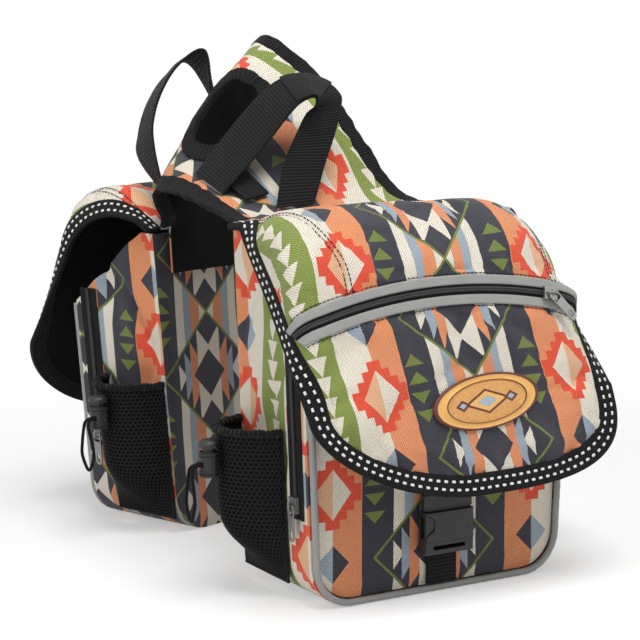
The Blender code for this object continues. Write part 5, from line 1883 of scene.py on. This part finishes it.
    def cord_route(self) -> list[Vector]:
        """Return the draw cord's route: out through the lock, down round a loop and back.

        Returns:
            The route's points.
        """
        lock = self.lock_place()
        start, strand = 2 * GAP, self.cord_pitch / 2
        bend = start + self.cord_straight
        out = bend + self.cord_bend
        near_half = [(start, strand, 0.0), (start + self.cord_straight * 0.5, strand, 0.0),
                     (bend, strand, -0.0002),
                     (bend + self.cord_bend * 0.75, strand + 0.0003, -self.cord_bend * 0.35),
                     (out, strand + 0.0010, -self.cord_bend * 1.2),
                     (out, self.cord_loop * 0.85, -self.cord_drop * 0.45),
                     (out, self.cord_loop, -self.cord_drop * 0.72)]
        far_half = [(x, -across, rise) for x, across, rise in reversed(near_half)]
        path = smooth_curve(near_half + [(out, 0.0, -self.cord_drop)] + far_half, 10)
        return [self.pouch.world(lock @ point) for point in Trace(path).evenly(0.0012)]

    def lock_ring(self, profile: Sequence[Pair]) -> Rows:
        """Return rings round a cord lock's barrel.

        Args:
            profile: The radius and the height over the lock's middle of each ring.
        Returns:
            The rings.
        """
        lock = self.lock_place()
        middle = self.lock_standoff + self.button_radius
        return [[self.pouch.world(lock @ Vector((middle + x, y, z))) for x, y in circle(radius, 40)]
                for radius, z in profile]

    def make_lock_trim(self) -> None:
        """Make the domed cap on a cord lock's button and the grip rings round its barrel."""
        top = self.lock_length / 2 + self.button_travel + GAP + self.button_head
        full = self.button_radius
        dome = [(full * 0.98, top - 0.0002), (full * 0.98, top + 0.0004), (full * 0.90, top + 0.0014),
                (full * 0.70, top + 0.0025), (full * 0.42, top + 0.0032), (full * 0.10, top + 0.0035)]
        self.pouch.add(self.label + "_lock_cap", Skin().loft(self.lock_ring(dome)), Finishes.PLASTIC,
                       body=f"{self.pouch.name}_{self.label}_button", crisp=60.0)
        grips, bulk = Skin(), self.lock_radius
        for level in (-0.0070, -0.0050, 0.0050, 0.0070):
            profile = [(bulk - 0.0002, level - 0.0007), (bulk + 0.0006, level - 0.0004),
                       (bulk + 0.0006, level + 0.0004), (bulk - 0.0002, level + 0.0007)]
            grips.loft(self.lock_ring(profile), closed=True)
        self.pouch.add(self.label + "_lock_grips", grips, Finishes.PLASTIC, crisp=60.0)

    def make_cord(self) -> None:
        """Make one pocket's braided draw cord."""
        route = self.cord_route()
        up = self.pouch.matrix.to_3x3() @ Vector((0.0, 0.0, 1.0))
        radius = self.cord_diameter / 2
        skin = Skin().loft(tube(route, lambda distance: radius, 12, up))
        item = self.pouch.add(self.label + "_cord", skin, Finishes.CORD, self.label + "_draw_cord",
                              crisp=80.0)
        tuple(route[0])
        Trace(route).length


@dataclass
class Buckle:
    """A pouch's buckle webbing: the strap under the socket and the strap that carries the plug."""

    pouch: Pouch
    web_width: float = 0.025
    web_thick: float = 0.0015
    socket_low: float = 0.0290
    socket_length: float = 0.0300
    socket_thick: float = 0.0090
    plate_half: float = 0.0192
    waist: float = 0.0068
    bar: float = 0.0032
    slot: float = 0.0028
    shoulder: float = 0.0110
    run_gap: float = 0.0004
    travel: float = 0.0220
    strap_low: float = 0.0980
    strap_top: float = 0.1280
    strap_slack: float = 0.0022
    far_top: float = 0.066
    far_peel: float = 0.06
    far_hang: float = 0.030

    def web(self, line: list[Vector]) -> Skin:
        """Return narrow webbing along a line of (y, z) points of the upright pouch.

        Args:
            line: The middle line's points.
        Returns:
            The webbing's skin.
        """
        trace = Trace(line)
        stops = [trace.length * step / 60 for step in range(61)]
        half = self.web_width / 2

        def place(x: float, distance: float, out: float) -> Vector:
            """Return a point of the webbing at a height over its middle.

            Args:
                x: The place across.
                distance: The distance along the webbing.
                out: The height over the surface.
            Returns:
                The point.
            """
            here = trace.at(distance)[0]
            along = trace.at(distance + 0.0015)[0] - trace.at(distance - 0.0015)[0]
            across = Vector((along.y, -along.x)).normalized() * out
            return self.pouch.world((x, here.x + across.x, here.y + across.y))

        return band(Skin(), [(-half, stop) for stop in stops], [(half, stop) for stop in stops], place,
                    self.web_width, -self.web_thick / 2, self.web_thick / 2)

    def build(self, closed: bool) -> None:
        """Make the webbing of a closed or an open buckle.

        Args:
            closed: Whether the plug sits in the socket.
        """
        flap = self.pouch.flap
        middle = -DEPTH / 2 - GAP - self.web_thick / 2
        low = 2 * self.pouch.piping_radius + 2 * GAP
        top = self.socket_low + self.bar + self.slot - self.run_gap
        skin = self.web([Vector((middle, low)), Vector((middle, (low + top) / 2)), Vector((middle, top))])
        self.pouch.add("buckle_web", skin, Finishes.WEBBING, "buckle_strap")
        line = self.closed_line(flap) if closed else self.open_line(flap)
        body = "near_buckle" if closed else "bag"
        self.pouch.add("flap_web", self.web(line), Finishes.WEBBING, "flap_strap", body)
        self.pouch.add("buckle_face", self.face_plate(), Finishes.PLASTIC, crisp=30.0)

    def face_plate(self) -> Skin:
        """Return the raised plate on the socket's face, waisted where fingers press the prongs.

        Returns:
            The plate's skin.
        """
        face = -DEPTH / 2 - 2 * GAP - self.web_thick - self.socket_thick
        low, high = self.socket_low + self.bar * 1.9 + self.slot, self.socket_low + self.socket_length
        steps, middle = 40, (low + high) / 2 + 0.0015
        rings = []
        for inset, out in ((0.0, 0.0), (0.0, 0.0007), (0.0005, 0.0012), (0.0020, 0.0014)):
            right = []
            for step in range(steps + 1):
                z = low + inset + (high - low - 2 * inset) * step / steps
                waist = self.waist * math.exp(-((z - middle) / 0.0058) ** 4)
                right.append((self.plate_half - waist - inset, z))
            outline = right + [(-x, z) for x, z in reversed(right)]
            rings.append([self.pouch.world((x, face - out, z)) for x, z in outline])
        return Skin().loft(rings)

    def closed_line(self, flap: Flap) -> list[Vector]:
        """Return the strap's line from the plug in its socket up inside the flap.

        Args:
            flap: The flap that the strap hangs in.
        Returns:
            The line's (y, z) points.
        """
        face = -DEPTH / 2 - GAP - self.web_thick - GAP
        base = self.socket_low + self.socket_length + self.run_gap
        start = Vector((face - self.socket_thick / 2, base + self.bar + self.run_gap))
        above = Vector((start.x, base + self.shoulder + 2 * self.run_gap))
        toe, down = flap.line.at(flap.line.length)
        clear = self.web_thick / 2 + GAP + self.travel * abs(down.x) + self.strap_slack + flap.edge_thick / 2
        ends = []
        for z in (self.strap_low, self.strap_top):
            centre, along = flap.line.at(flap.line.length - (z - toe.y) / abs(down.y))
            ends.append(centre - Vector((along.y, -along.x)) * clear)
        return smooth_curve([start, above] + ends, 12)

    def open_line(self, flap: Flap) -> list[Vector]:
        """Return the strap's line that hangs the loose plug inside the flap.

        Args:
            flap: The flap that the strap hangs in.
        Returns:
            The line's (y, z) points.
        """
        out = -flap.edge_thick / 2 - GAP - self.web_thick / 2
        ends = [flap.point(0.0, flap.line.length - back, out - (self.far_top - back) * self.far_peel)
                for back in (self.far_top, 0.054, 0.042)]
        high, middle, low = (Vector((end.y, end.z)) for end in ends)
        loose = Vector((low.x + 0.0030, low.y - self.far_hang * 0.4))
        hang = Vector((low.x + 0.0075, low.y - self.far_hang))
        bar = Vector((hang.x, hang.y - self.shoulder))
        return smooth_curve([high, middle, low, loose, hang, bar], 12)


@dataclass
class Badge:
    """The plain oval badge on the near flap."""

    pouch: Pouch
    across: float = 0.0155
    half_size: Pair = (0.0436, 0.0184)
    tilt: float = math.radians(5.0)
    sides: int = 96

    def build(self) -> None:
        """Make the badge as rings from its rim to its middle."""
        flap = self.pouch.flap
        base = flap.edge_thick / 2 + flap.pad + GAP
        rings, cloth = [], []
        for shrink, out in ((1.0, 0.0), (1.0, 0.0012), (0.990, 0.0018), (0.965, 0.0022), (0.940, 0.0020),
                            (0.925, 0.0015), (0.900, 0.0014), (0.780, 0.0015), (0.765, 0.0021),
                            (0.740, 0.0021), (0.725, 0.0014), (0.60, 0.0016), (0.40, 0.0018),
                            (0.20, 0.0019), (0.02, 0.0019)):
            ring, marks = [], []
            for c, d in circle(1.0, self.sides):
                x, up = self.half_size[0] * c * shrink, self.half_size[1] * d * shrink
                turned_x = x * math.cos(self.tilt) - up * math.sin(self.tilt)
                turned_up = x * math.sin(self.tilt) + up * math.cos(self.tilt)
                place = flap.point(self.across + turned_x, flap.badge_centre - turned_up, base + out)
                ring.append(self.pouch.world(place))
                marks.append((shrink, x, up))
            rings.append(ring)
            cloth.append(marks)
        skin = Skin().loft(rings, cloth=cloth)
        add_piece("badge_plate", skin, Finishes.ENAMEL, ["near_badge"], crisp=60.0)


@dataclass
class Rail:
    """A line of equal steps between knots, read by a share of its steps."""

    points: list[Vector]

    def at(self, share: float) -> Vector:
        """Return the point at a share, going straight on past either end.

        Args:
            share: The share of the line's steps.
        Returns:
            The point.
        """
        place = share * (len(self.points) - 1)
        index = min(max(int(place), 0), len(self.points) - 2)
        return self.points[index].lerp(self.points[index + 1], place - index)


@dataclass
class Yoke:
    """The yoke over the saddle horn: u runs from its low edge to its high edge and s from near to far."""

    near: Pouch
    far: Pouch
    cover_thick: float = 0.0016
    lining_thick: float = 0.0011
    layer_gap: float = 0.0006
    lift: float = 0.010
    hole_centre: Pair = (0.47, 0.505)
    hole_half: Pair = (0.200, 0.055)
    hole_power: float = 2.6
    hole_rim: float = 0.2
    foot_drop: float = 0.030
    foot_half: float = 0.1045
    foot_steps: int = 6
    total_steps: int = 54
    tape_width: float = 0.0130
    tape_thick: float = 0.0044
    tuck: float = 0.0020
    print_origin: Pair = (0.030, -0.0335)
    wrinkle: float = 0.0026
    narrow_wrinkle: float = 0.0007
    scallop: float = 0.0018

    def __post_init__(self) -> None:
        """Lay the two side edges from foot to foot."""
        near, far, half, drop = self.near, self.far, self.foot_half, self.foot_drop
        back = DEPTH / 2 + GAP + self.cover_thick + GAP / 2
        low = [near.world((-half, back, near.height)), (-0.1030, 0.0660, 0.2520), (-0.1020, 0.1000, 0.2570),
               (-0.1020, 0.1400, 0.2625), (-0.1040, 0.1680, 0.2635), (-0.1030, 0.1820, 0.2580),
               far.world((half, back + 0.003, far.height + 0.012)), far.world((half, back, far.height))]
        high = [near.world((half, back, near.height)), (0.0680, 0.1020, 0.2570), (0.0490, 0.1350, 0.3000),
                (0.0360, 0.1700, 0.3430), (0.0100, 0.2060, 0.3760), (0.0200, 0.2340, 0.3620),
                (0.0600, 0.2500, 0.3000), far.world((-half, back, far.height))]
        self.low = self.rail(near.world((-half, back, near.height - drop)), low,
                             far.world((half, back, far.height - drop)))
        self.high = self.rail(near.world((half, back, near.height - drop)), high,
                              far.world((-half, back, far.height - drop)))

    def rail(self, start: Vector, knots: list, end: Vector) -> Rail:
        """Return one edge of the yoke, from the foot on one pouch to the foot on the other.

        Args:
            start: The end of the near foot.
            knots: The knots between the feet.
            end: The end of the far foot.
        Returns:
            The edge.
        """
        steps = self.foot_steps
        first, last = Vector(knots[0]), Vector(knots[-1])
        foot_in = [start.lerp(first, step / steps) for step in range(steps)]
        foot_out = [last.lerp(end, step / steps) for step in range(1, steps + 1)]
        return Rail(foot_in + smooth_curve(knots, steps, start, end) + foot_out)

    def middle(self, u: float, s: float) -> Vector:
        """Return a point of the middle surface.

        Args:
            u: The share of the way from the low edge to the high one.
            s: The share of the way from the near foot to the far one.
        Returns:
            The point.
        """
        low, high = self.low.at(s), self.high.at(s)
        swell = self.lift * 4 * u * (1 - u) * smoothstep(0.25, 0.5, s) * (1 - smoothstep(0.6, 0.8, s))
        return low.lerp(high, u) + Vector((-0.4, 0.0, 0.9)) * swell

    def point(self, u: float, s: float, out: float = 0.0) -> Vector:
        """Return a point moved out along the surface's normal.

        Args:
            u: The share of the way from the low edge to the high one.
            s: The share of the way from the near foot to the far one.
            out: The height over the surface.
        Returns:
            The point.
        """
        step = 0.012
        across = self.middle(u + step, s) - self.middle(u - step, s)
        along = self.middle(u, s + step) - self.middle(u, s - step)
        return self.middle(u, s) + across.cross(along).normalized() * out

    def width(self, s: float) -> float:
        """Return the distance between the yoke's two edges."""
        return (self.high.at(s) - self.low.at(s)).length

    def length(self, u: float) -> float:
        """Return the distance over the yoke from foot to foot."""
        stops = [self.middle(u, step / 40) for step in range(41)]
        return sum((there - here).length for here, there in zip(stops, stops[1:]))

    def hole(self, angle: float, grow: float) -> Pair:
        """Return the horn hole's edge at an angle, as (u, s), grown by a distance.

        Args:
            angle: The angle round the hole.
            grow: How far to grow the hole.
        Returns:
            The place.
        """
        c, d = math.cos(angle), math.sin(angle)
        power = 2 / self.hole_power
        across, along = self.hole_reach(grow)
        return (self.hole_centre[0] + across * math.copysign(abs(c) ** power, c),
                self.hole_centre[1] + along * math.copysign(abs(d) ** power, d))

    def hole_reach(self, grow: float) -> Pair:
        """Return the hole's half sizes along u and s, grown by a distance."""
        return (self.hole_half[0] + grow / self.width(self.hole_centre[1]),
                self.hole_half[1] + grow / self.length(self.hole_centre[0]))

    def fold(self, u: float, s: float) -> float:
        """Return how far the cloth layers rise or dip at a place between their sewn edges.

        Args:
            u: The share of the way from the low edge to the high one.
            s: The share of the way from the near foot to the far one.
        Returns:
            The height, below 0 in a dip.
        """
        edge = min(u, 1 - u) * self.width(s)
        free = smoothstep(0.012, 0.035, edge) * smoothstep(0.02, 0.10, s) * (1 - smoothstep(0.90, 0.98, s))
        place = self.middle(u, s)
        broad = self.wrinkle * free * (0.5 + 0.5 * wander(place, 0.030, 8.0))
        return -broad - self.narrow_wrinkle * free * crease(place, 0.028, 9.0)

    def layer(self, low: float, high: float) -> Skin:
        """Return one layer of the yoke's cloth, open at the horn hole.

        Args:
            low: The height of the layer's lower face.
            high: The height of its upper face.
        Returns:
            The layer's skin.
        """
        rows, columns = 150, 46
        inset = self.tape_width - self.tuck
        across, along = self.hole_reach(inset)
        keys, inside = [], []
        for row in range(rows + 1):
            s = row / rows
            edge = inset / self.width(s)
            for column in range(columns + 1):
                u = edge + (1 - 2 * edge) * column / columns
                du, ds = u - self.hole_centre[0], s - self.hole_centre[1]
                size = abs(du / across) ** self.hole_power + abs(ds / along) ** self.hole_power
                inside.append(size < 1)
                grow = size ** (-1 / self.hole_power) if self.hole_rim < size < 1 else 0.0
                moved = (self.hole_centre[0] + du * grow, self.hole_centre[1] + ds * grow)
                keys.append(moved if grow else (u, s))
        faces = []
        for row in range(rows):
            for column in range(columns):
                here = row * (columns + 1) + column
                face = (here, here + 1, here + columns + 2, here + columns + 1)
                if not all(inside[index] for index in face):
                    faces.append(face)
        used = sorted(set(flat(faces)))
        order = {index: place for place, index in enumerate(used)}
        kept = [keys[index] for index in used]
        reach = self.length(0.5)
        cloth = [(u * self.width(s) - self.print_origin[0], s * reach - self.print_origin[1], 0.0)
                 for u, s in kept]
        return Skin().thick([self.point(u, s, high + self.fold(u, s)) for u, s in kept],
                            [self.point(u, s, low + self.fold(u, s)) for u, s in kept],
                            [tuple(order[index] for index in face) for face in faces], cloth)

    def build(self) -> None:
        """Make the yoke's layers, tapes and straps."""
        inner = self.layer_gap / 2
        add_piece("yoke_cloth", self.layer(inner, inner + self.cover_thick), Finishes.PRINT, ["yoke_cover"])
        add_piece("yoke_inner_cloth", self.layer(-inner - self.lining_thick, -inner), Finishes.LINING,
                  ["yoke_lining"])
        self.make_tapes()
        Straps(self).build()

    def make_tapes(self) -> None:
        """Make the tapes folded round the yoke's side edges and round the horn hole."""
        lift = (self.cover_thick - self.lining_thick) / 2
        width, half = self.tape_width, self.tape_thick / 2

        def place(u: float, s: float, out: float) -> Vector:
            """Return a point of a tape, gathered a little along its length.

            Args:
                u: The share of the way from the low edge to the high one.
                s: The share of the way from the near foot to the far one.
                out: The height over the surface.
            Returns:
                The point.
            """
            spot = self.point(u, s, out + lift)
            shift = self.scallop * wander(spot, 0.0085, 5.0) / self.width(s)
            return self.point(u + shift, s, out * (1 + 0.22 * wander(spot, 0.008, 2.0)) + lift)

        first, last = self.foot_steps, self.total_steps - self.foot_steps - 2
        stops = [(first + (last - first) * step / 220) / self.total_steps for step in range(221)]
        for name, u, sign in (("low", 0.0, 1), ("high", 1.0, -1)):
            outer = [(u, s) for s in stops]
            inner = [(u + sign * width / self.width(s), s) for s in stops]
            skin = band(Skin(), outer, inner, place, width, -half, half)
            add_piece(f"yoke_{name}_tape", skin, Finishes.RIBBED_TAPE, [f"yoke_{name}_binding"])
        turns = [2 * math.pi * turn / 160 for turn in range(160)]
        inner, outer = ([self.hole(turn, grow) for turn in turns] for grow in (0.0, width))
        skin = band(Skin(), inner, outer, place, width, -half, half, closed=True)
        add_piece("horn_hole_tape", skin, Finishes.RIBBED_TAPE, ["horn_hole_binding"])


@dataclass
class Straps:
    """The two webbing loops on the yoke, the soft patch and the loose webbing end."""

    yoke: Yoke
    width: float = 0.038
    thick: float = 0.0020
    patch_thick: float = 0.0012
    patch_span: Pair = (9 / 36, 17 / 36)
    far_foot_lift: float = 0.0012
    tail_lift: float = 0.0005
    tail_u: Pair = (0.17, 0.30)
    tail_s: Pair = (0.285, 0.395)

    def ribbon(self, left: list, right: list, low: float, high: float, span: Pair = (0.0, 1.0)) -> Skin:
        """Return a band ruled between two smooth edges.

        Args:
            left: Knots of its left edge.
            right: Knots of its right edge.
            low: The height of its back over the ruled surface.
            high: The height of its face.
            span: The share of its length where it starts and ends.
        Returns:
            The band's skin.
        """
        left_line, right_line = Rail(smooth_curve(left, 12)), Rail(smooth_curve(right, 12))

        def place(share: float, run: float, out: float) -> Vector:
            """Return a point of the ribbon at a height over its middle.

            Args:
                share: The share of the way from the left edge to the right.
                run: The share of the ribbon's length.
                out: The height over the surface.
            Returns:
                The point.
            """
            here, there = left_line.at(run), right_line.at(run)
            ahead = left_line.at(run + 0.012) + right_line.at(run + 0.012)
            behind = left_line.at(run - 0.012) + right_line.at(run - 0.012)
            normal = (there - here).cross(ahead - behind).normalized()
            return here.lerp(there, share) + normal * out

        runs = spread(*span, 150)
        return band(Skin(), [(0.0, run) for run in runs], [(1.0, run) for run in runs], place, self.width,
                    low, high)

    def build(self) -> None:
        """Make both loops, the patch and the loose end."""
        yoke, half = self.yoke, self.thick / 2
        foot = yoke.cover_thick + 2 * GAP + half
        left = [yoke.point(0.120, 0.445, foot), (-0.0560, 0.1350, 0.3190), (-0.0310, 0.1300, 0.3430),
                (-0.0110, 0.1250, 0.3490), (0.0080, 0.1200, 0.3440), (0.0150, 0.1120, 0.3360),
                (0.0140, 0.1070, 0.3280), (0.0050, 0.1000, 0.3090), (-0.0090, 0.0920, 0.2850),
                yoke.point(0.455, 0.222, foot + half)]
        right = [yoke.point(0.105, 0.335, foot), (-0.0540, 0.1000, 0.3000), (-0.0320, 0.0960, 0.3260),
                 (-0.0220, 0.0930, 0.3330), (-0.0160, 0.0930, 0.3330), (-0.0140, 0.0980, 0.3270),
                 (-0.0200, 0.1010, 0.3210), (-0.0300, 0.0980, 0.3070), (-0.0450, 0.0900, 0.2860),
                 yoke.point(0.250, 0.222, foot + half)]
        add_piece("near_loop_web", self.ribbon(left, right, -half, half), Finishes.WEBBING, ["near_strap"])
        patch = self.ribbon(left, right, half + GAP, half + GAP + self.patch_thick, self.patch_span)
        add_piece("near_loop_patch", patch, Finishes.NAP, ["near_strap_patch"])
        side = Vector((-0.12, -0.93, 0.3)).normalized() * (self.width / 2)
        loop = [Vector(point) for point in ((-0.0890, 0.2240, 0.2880), (-0.0850, 0.2340, 0.3070),
                                            (-0.0750, 0.2390, 0.3300), (-0.0590, 0.2400, 0.3510),
                                            (-0.0390, 0.2360, 0.3610))]
        foot += self.far_foot_lift
        left = [yoke.point(0.100, 0.670, foot)] + [point + side for point in loop]
        right = [yoke.point(0.110, 0.760, foot)] + [point - side for point in loop]
        left.append(yoke.point(0.600, 0.640, foot + half))
        right.append(yoke.point(0.620, 0.730, foot + half))
        add_piece("far_loop_web", self.ribbon(left, right, -half, half), Finishes.WEBBING, ["far_strap"])
        self.make_tail()

    def make_tail(self) -> None:
        """Make the short webbing end that lies on the yoke beside the near loop."""
        low = self.yoke.cover_thick + GAP + self.tail_lift
        first, second = ([(u, s) for u in spread(*self.tail_u, 30)] for s in self.tail_s)
        skin = band(Skin(), first, second, self.yoke.point, self.width, low, low + self.thick)
        add_piece("near_loop_tail", skin, Finishes.WEBBING, ["near_strap_tail"])


@dataclass
class Hardware:
    """The hard CAD pieces, which keep their shape and get rounded edges and a finish."""

    bevel: float = 0.00035
    weld_gap: float = 0.00001
    sharp_from: float = math.radians(40)
    plastic: tuple[str, ...] = ("cord_lock", "lock_button", "buckle_socket", "buckle_plug")
    metal: tuple[str, ...] = ("slider", "pull")

    def build(self) -> None:
        """Dress every hard node."""
        for name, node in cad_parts.items():
            for endings, finish in ((self.plastic, Finishes.PLASTIC), (self.metal, Finishes.METAL)):
                if name.endswith(endings):
                    self.dress(node, finish)

    def dress(self, node: bpy.types.Object, finish: Finishes) -> None:
        """Round a node's edges and give it its finish.

        Args:
            node: The node's object.
            finish: Its finish.
        """
        material = finish.value.material()
        node.data.materials.clear()
        node.data.materials.append(material)
        weld = node.modifiers.new("weld", "WELD")
        weld.merge_threshold = self.weld_gap
        rounding = node.modifiers.new("rounding", "BEVEL")
        rounding.width = self.bevel
        rounding.segments = 2
        rounding.limit_method = "ANGLE"
        rounding.angle_limit = self.sharp_from
        LOG.info("%s: finish %s", node.name, finish.value.label)


@dataclass
class Studio:
    """The camera at the photograph's view, soft lights and a pale floor."""

    camera_place: Rgb = (-0.7087, -1.0792, 0.3769)
    target: Rgb = (-0.1080, -0.0675, 0.1990)
    lit_place: Rgb = (0.0, 0.12, 0.15)
    world_strength: float = 0.27
    frame_pixels: int = 640
    focal_pixels: float = 1873.0
    sensor: float = 36.0
    floor_half: float = 6.0
    floor_grey: float = 0.93
    shadow_reach: Pair = (0.35, 0.80)

    def build(self) -> None:
        """Make the camera, the lights, the backdrop and the floor."""
        self.make_camera()
        self.make_light("top", place=(-0.1, -0.6, 2.0), size=1.1, power=36.0)
        self.make_light("left", place=(-1.9, -0.3, 1.0), size=1.2, power=15.0)
        self.make_light("right", place=(1.6, -1.3, 0.9), size=1.2, power=6.0)
        self.make_world()
        self.make_floor()
        bpy.context.scene.view_settings.view_transform = "Standard"

    def make_camera(self) -> None:
        """Aim the camera from the photograph's place."""
        lens = bpy.data.cameras.new("camera")
        lens.sensor_width = self.sensor
        lens.lens = self.focal_pixels / self.frame_pixels * self.sensor
        lens.clip_start = 0.05
        bpy.context.scene.camera = self.aimed("camera", lens, self.camera_place, self.target)

    def aimed(self, name: str, data: bpy.types.ID, place: Rgb, target: Rgb) -> bpy.types.Object:
        """Add a camera or a lamp at a place, aimed at a target.

        Args:
            name: The object's name.
            data: The camera or the lamp.
            place: Where it stands.
            target: What it points at.
        Returns:
            The new object.
        """
        item = bpy.data.objects.new(name, data)
        bpy.context.collection.objects.link(item)
        item.location = place
        item.rotation_euler = (Vector(target) - Vector(place)).to_track_quat("-Z", "Y").to_euler()
        return item

    def make_light(self, name: str, place: Rgb, size: float, power: float) -> None:
        """Add a square soft light aimed at the bag.

        Args:
            name: The lamp's name.
            place: Where it stands.
            size: Its side's length.
            power: Its power in watts.
        """
        lamp = bpy.data.lights.new(name, "AREA")
        lamp.size = size
        lamp.energy = power
        self.aimed(name, lamp, place, self.lit_place)

    def seen_directly(self, tree: bpy.types.NodeTree) -> bpy.types.NodeSocket:
        """Return 1 for rays from the camera, in a gloss or through glass.

        Args:
            tree: The material's or the world's node tree.
        Returns:
            The socket.
        """
        path = tree.nodes.new("ShaderNodeLightPath")
        total = Sum(tree, path.outputs["Is Camera Ray"])
        for name in ("Is Glossy Ray", "Is Transmission Ray"):
            total = total.done("MAXIMUM", Sum(tree, path.outputs[name]))
        return total.socket

    def make_world(self) -> None:
        """Make a world that lights softly and looks white."""
        world = bpy.data.worlds.new("backdrop")
        bpy.context.scene.world = world
        world.use_nodes = True
        tree = world.node_tree
        light = tree.nodes["Background"]
        light.inputs["Color"].default_value = (1.0, 1.0, 1.0, 1.0)
        light.inputs["Strength"].default_value = self.world_strength
        white = tree.nodes.new("ShaderNodeBackground")
        white.inputs["Color"].default_value = (1.0, 1.0, 1.0, 1.0)
        white.inputs["Strength"].default_value = 1.0
        self.join_shaders(tree, self.seen_directly(tree), light, white, "World Output")

    def join_shaders(self, tree: bpy.types.NodeTree, share: bpy.types.NodeSocket, first: bpy.types.Node,
                     second: bpy.types.Node, end: str) -> None:
        """Send two shaders to the output, the second by a share.

        Args:
            tree: The node tree.
            share: How much of the second shader shows.
            first: The first shader's node.
            second: The second shader's node.
            end: The name of the output node.
        """
        mix = tree.nodes.new("ShaderNodeMixShader")
        for source, place in zip((share, first.outputs[0], second.outputs[0]), mix.inputs):
            tree.links.new(source, place)
        tree.links.new(mix.outputs[0], tree.nodes[end].inputs["Surface"])

    def make_floor(self) -> None:
        """Make a pale floor that keeps the bag's shadow and fades to white round it."""
        half = self.floor_half
        mesh = bpy.data.meshes.new("floor")
        mesh.from_pydata([(-half, -half, 0), (half, -half, 0), (half, half, 0), (-half, half, 0)], [],
                         [(0, 1, 2, 3)])
        item = bpy.data.objects.new("floor", mesh)
        bpy.context.collection.objects.link(item)
        item.location.z = -0.0002
        recipe = Recipe("pale floor")
        tree = recipe.tree
        grey = self.floor_grey
        recipe.shader.inputs["Base Color"].default_value = (grey, grey, grey, 1.0)
        recipe.shader.inputs["Roughness"].default_value = 0.9
        recipe.shader.inputs["Specular IOR Level"].default_value = 0.0
        place = tree.nodes.new("ShaderNodeTexCoord")
        reach = tree.nodes.new("ShaderNodeVectorMath")
        reach.operation = "LENGTH"
        tree.links.new(place.outputs["Object"], reach.inputs[0])
        fade = tree.nodes.new("ShaderNodeMapRange")
        fade.inputs["From Min"].default_value = self.shadow_reach[0]
        fade.inputs["From Max"].default_value = self.shadow_reach[1]
        tree.links.new(reach.outputs["Value"], fade.inputs["Value"])
        amount = Sum(tree, self.seen_directly(tree)) * (Sum(tree, fade.outputs[0]) * 0.6 + 0.4)
        white = tree.nodes.new("ShaderNodeEmission")
        self.join_shaders(tree, amount.socket, recipe.shader, white, "Material Output")
        mesh.materials.append(recipe.material)


def main() -> None:
    """Build the studio and every dressed piece."""
    logging.basicConfig(level=logging.INFO, format="%(name)s %(message)s")
    Studio().build()
    near_flap = Flap(
        height=NEAR_HEIGHT, shoulder_rise=0.0195, toe_drop=0.1715, high_side=-1, skirt_share=1.0,
        opening=0.0, upper_print=(-0.001, 0.057), lower_print=(0.0002, 0.1374))
    far_flap = Flap(
        height=FAR_HEIGHT, shoulder_rise=0.0400, toe_drop=0.1830, high_side=1, skirt_share=0.42,
        opening=math.radians(8.0), upper_print=(0.010, 0.080), lower_print=(0.002, 0.180))
    near = Pouch(
        "near", height=NEAR_HEIGHT, front_drop=0.0780, centre=(0.0, 0.0), turn=0.0, lean=0.0, zip_side=-1,
        flap=near_flap, front_print=(-0.004, 0.0300), back_print=(0.0, 0.100), gusset_print=(0.0760, 0.020),
        rumple=0.0050)
    far = Pouch(
        "far", height=FAR_HEIGHT, front_drop=0.0600, centre=(-0.011, 0.251), turn=math.radians(200.0),
        lean=0.07, zip_side=1, flap=far_flap, front_print=(0.0, 0.0300), back_print=(0.0567, 0.1195),
        gusset_print=(-0.006, 0.0025), rumple=0.0085)
    for pouch in (near, far):
        pouch.build()
        Buckle(pouch).build(closed=pouch is near)
    Badge(near).build()
    Yoke(near, far).build()
    Hardware().build()


if __name__ == "__main__":
    main()
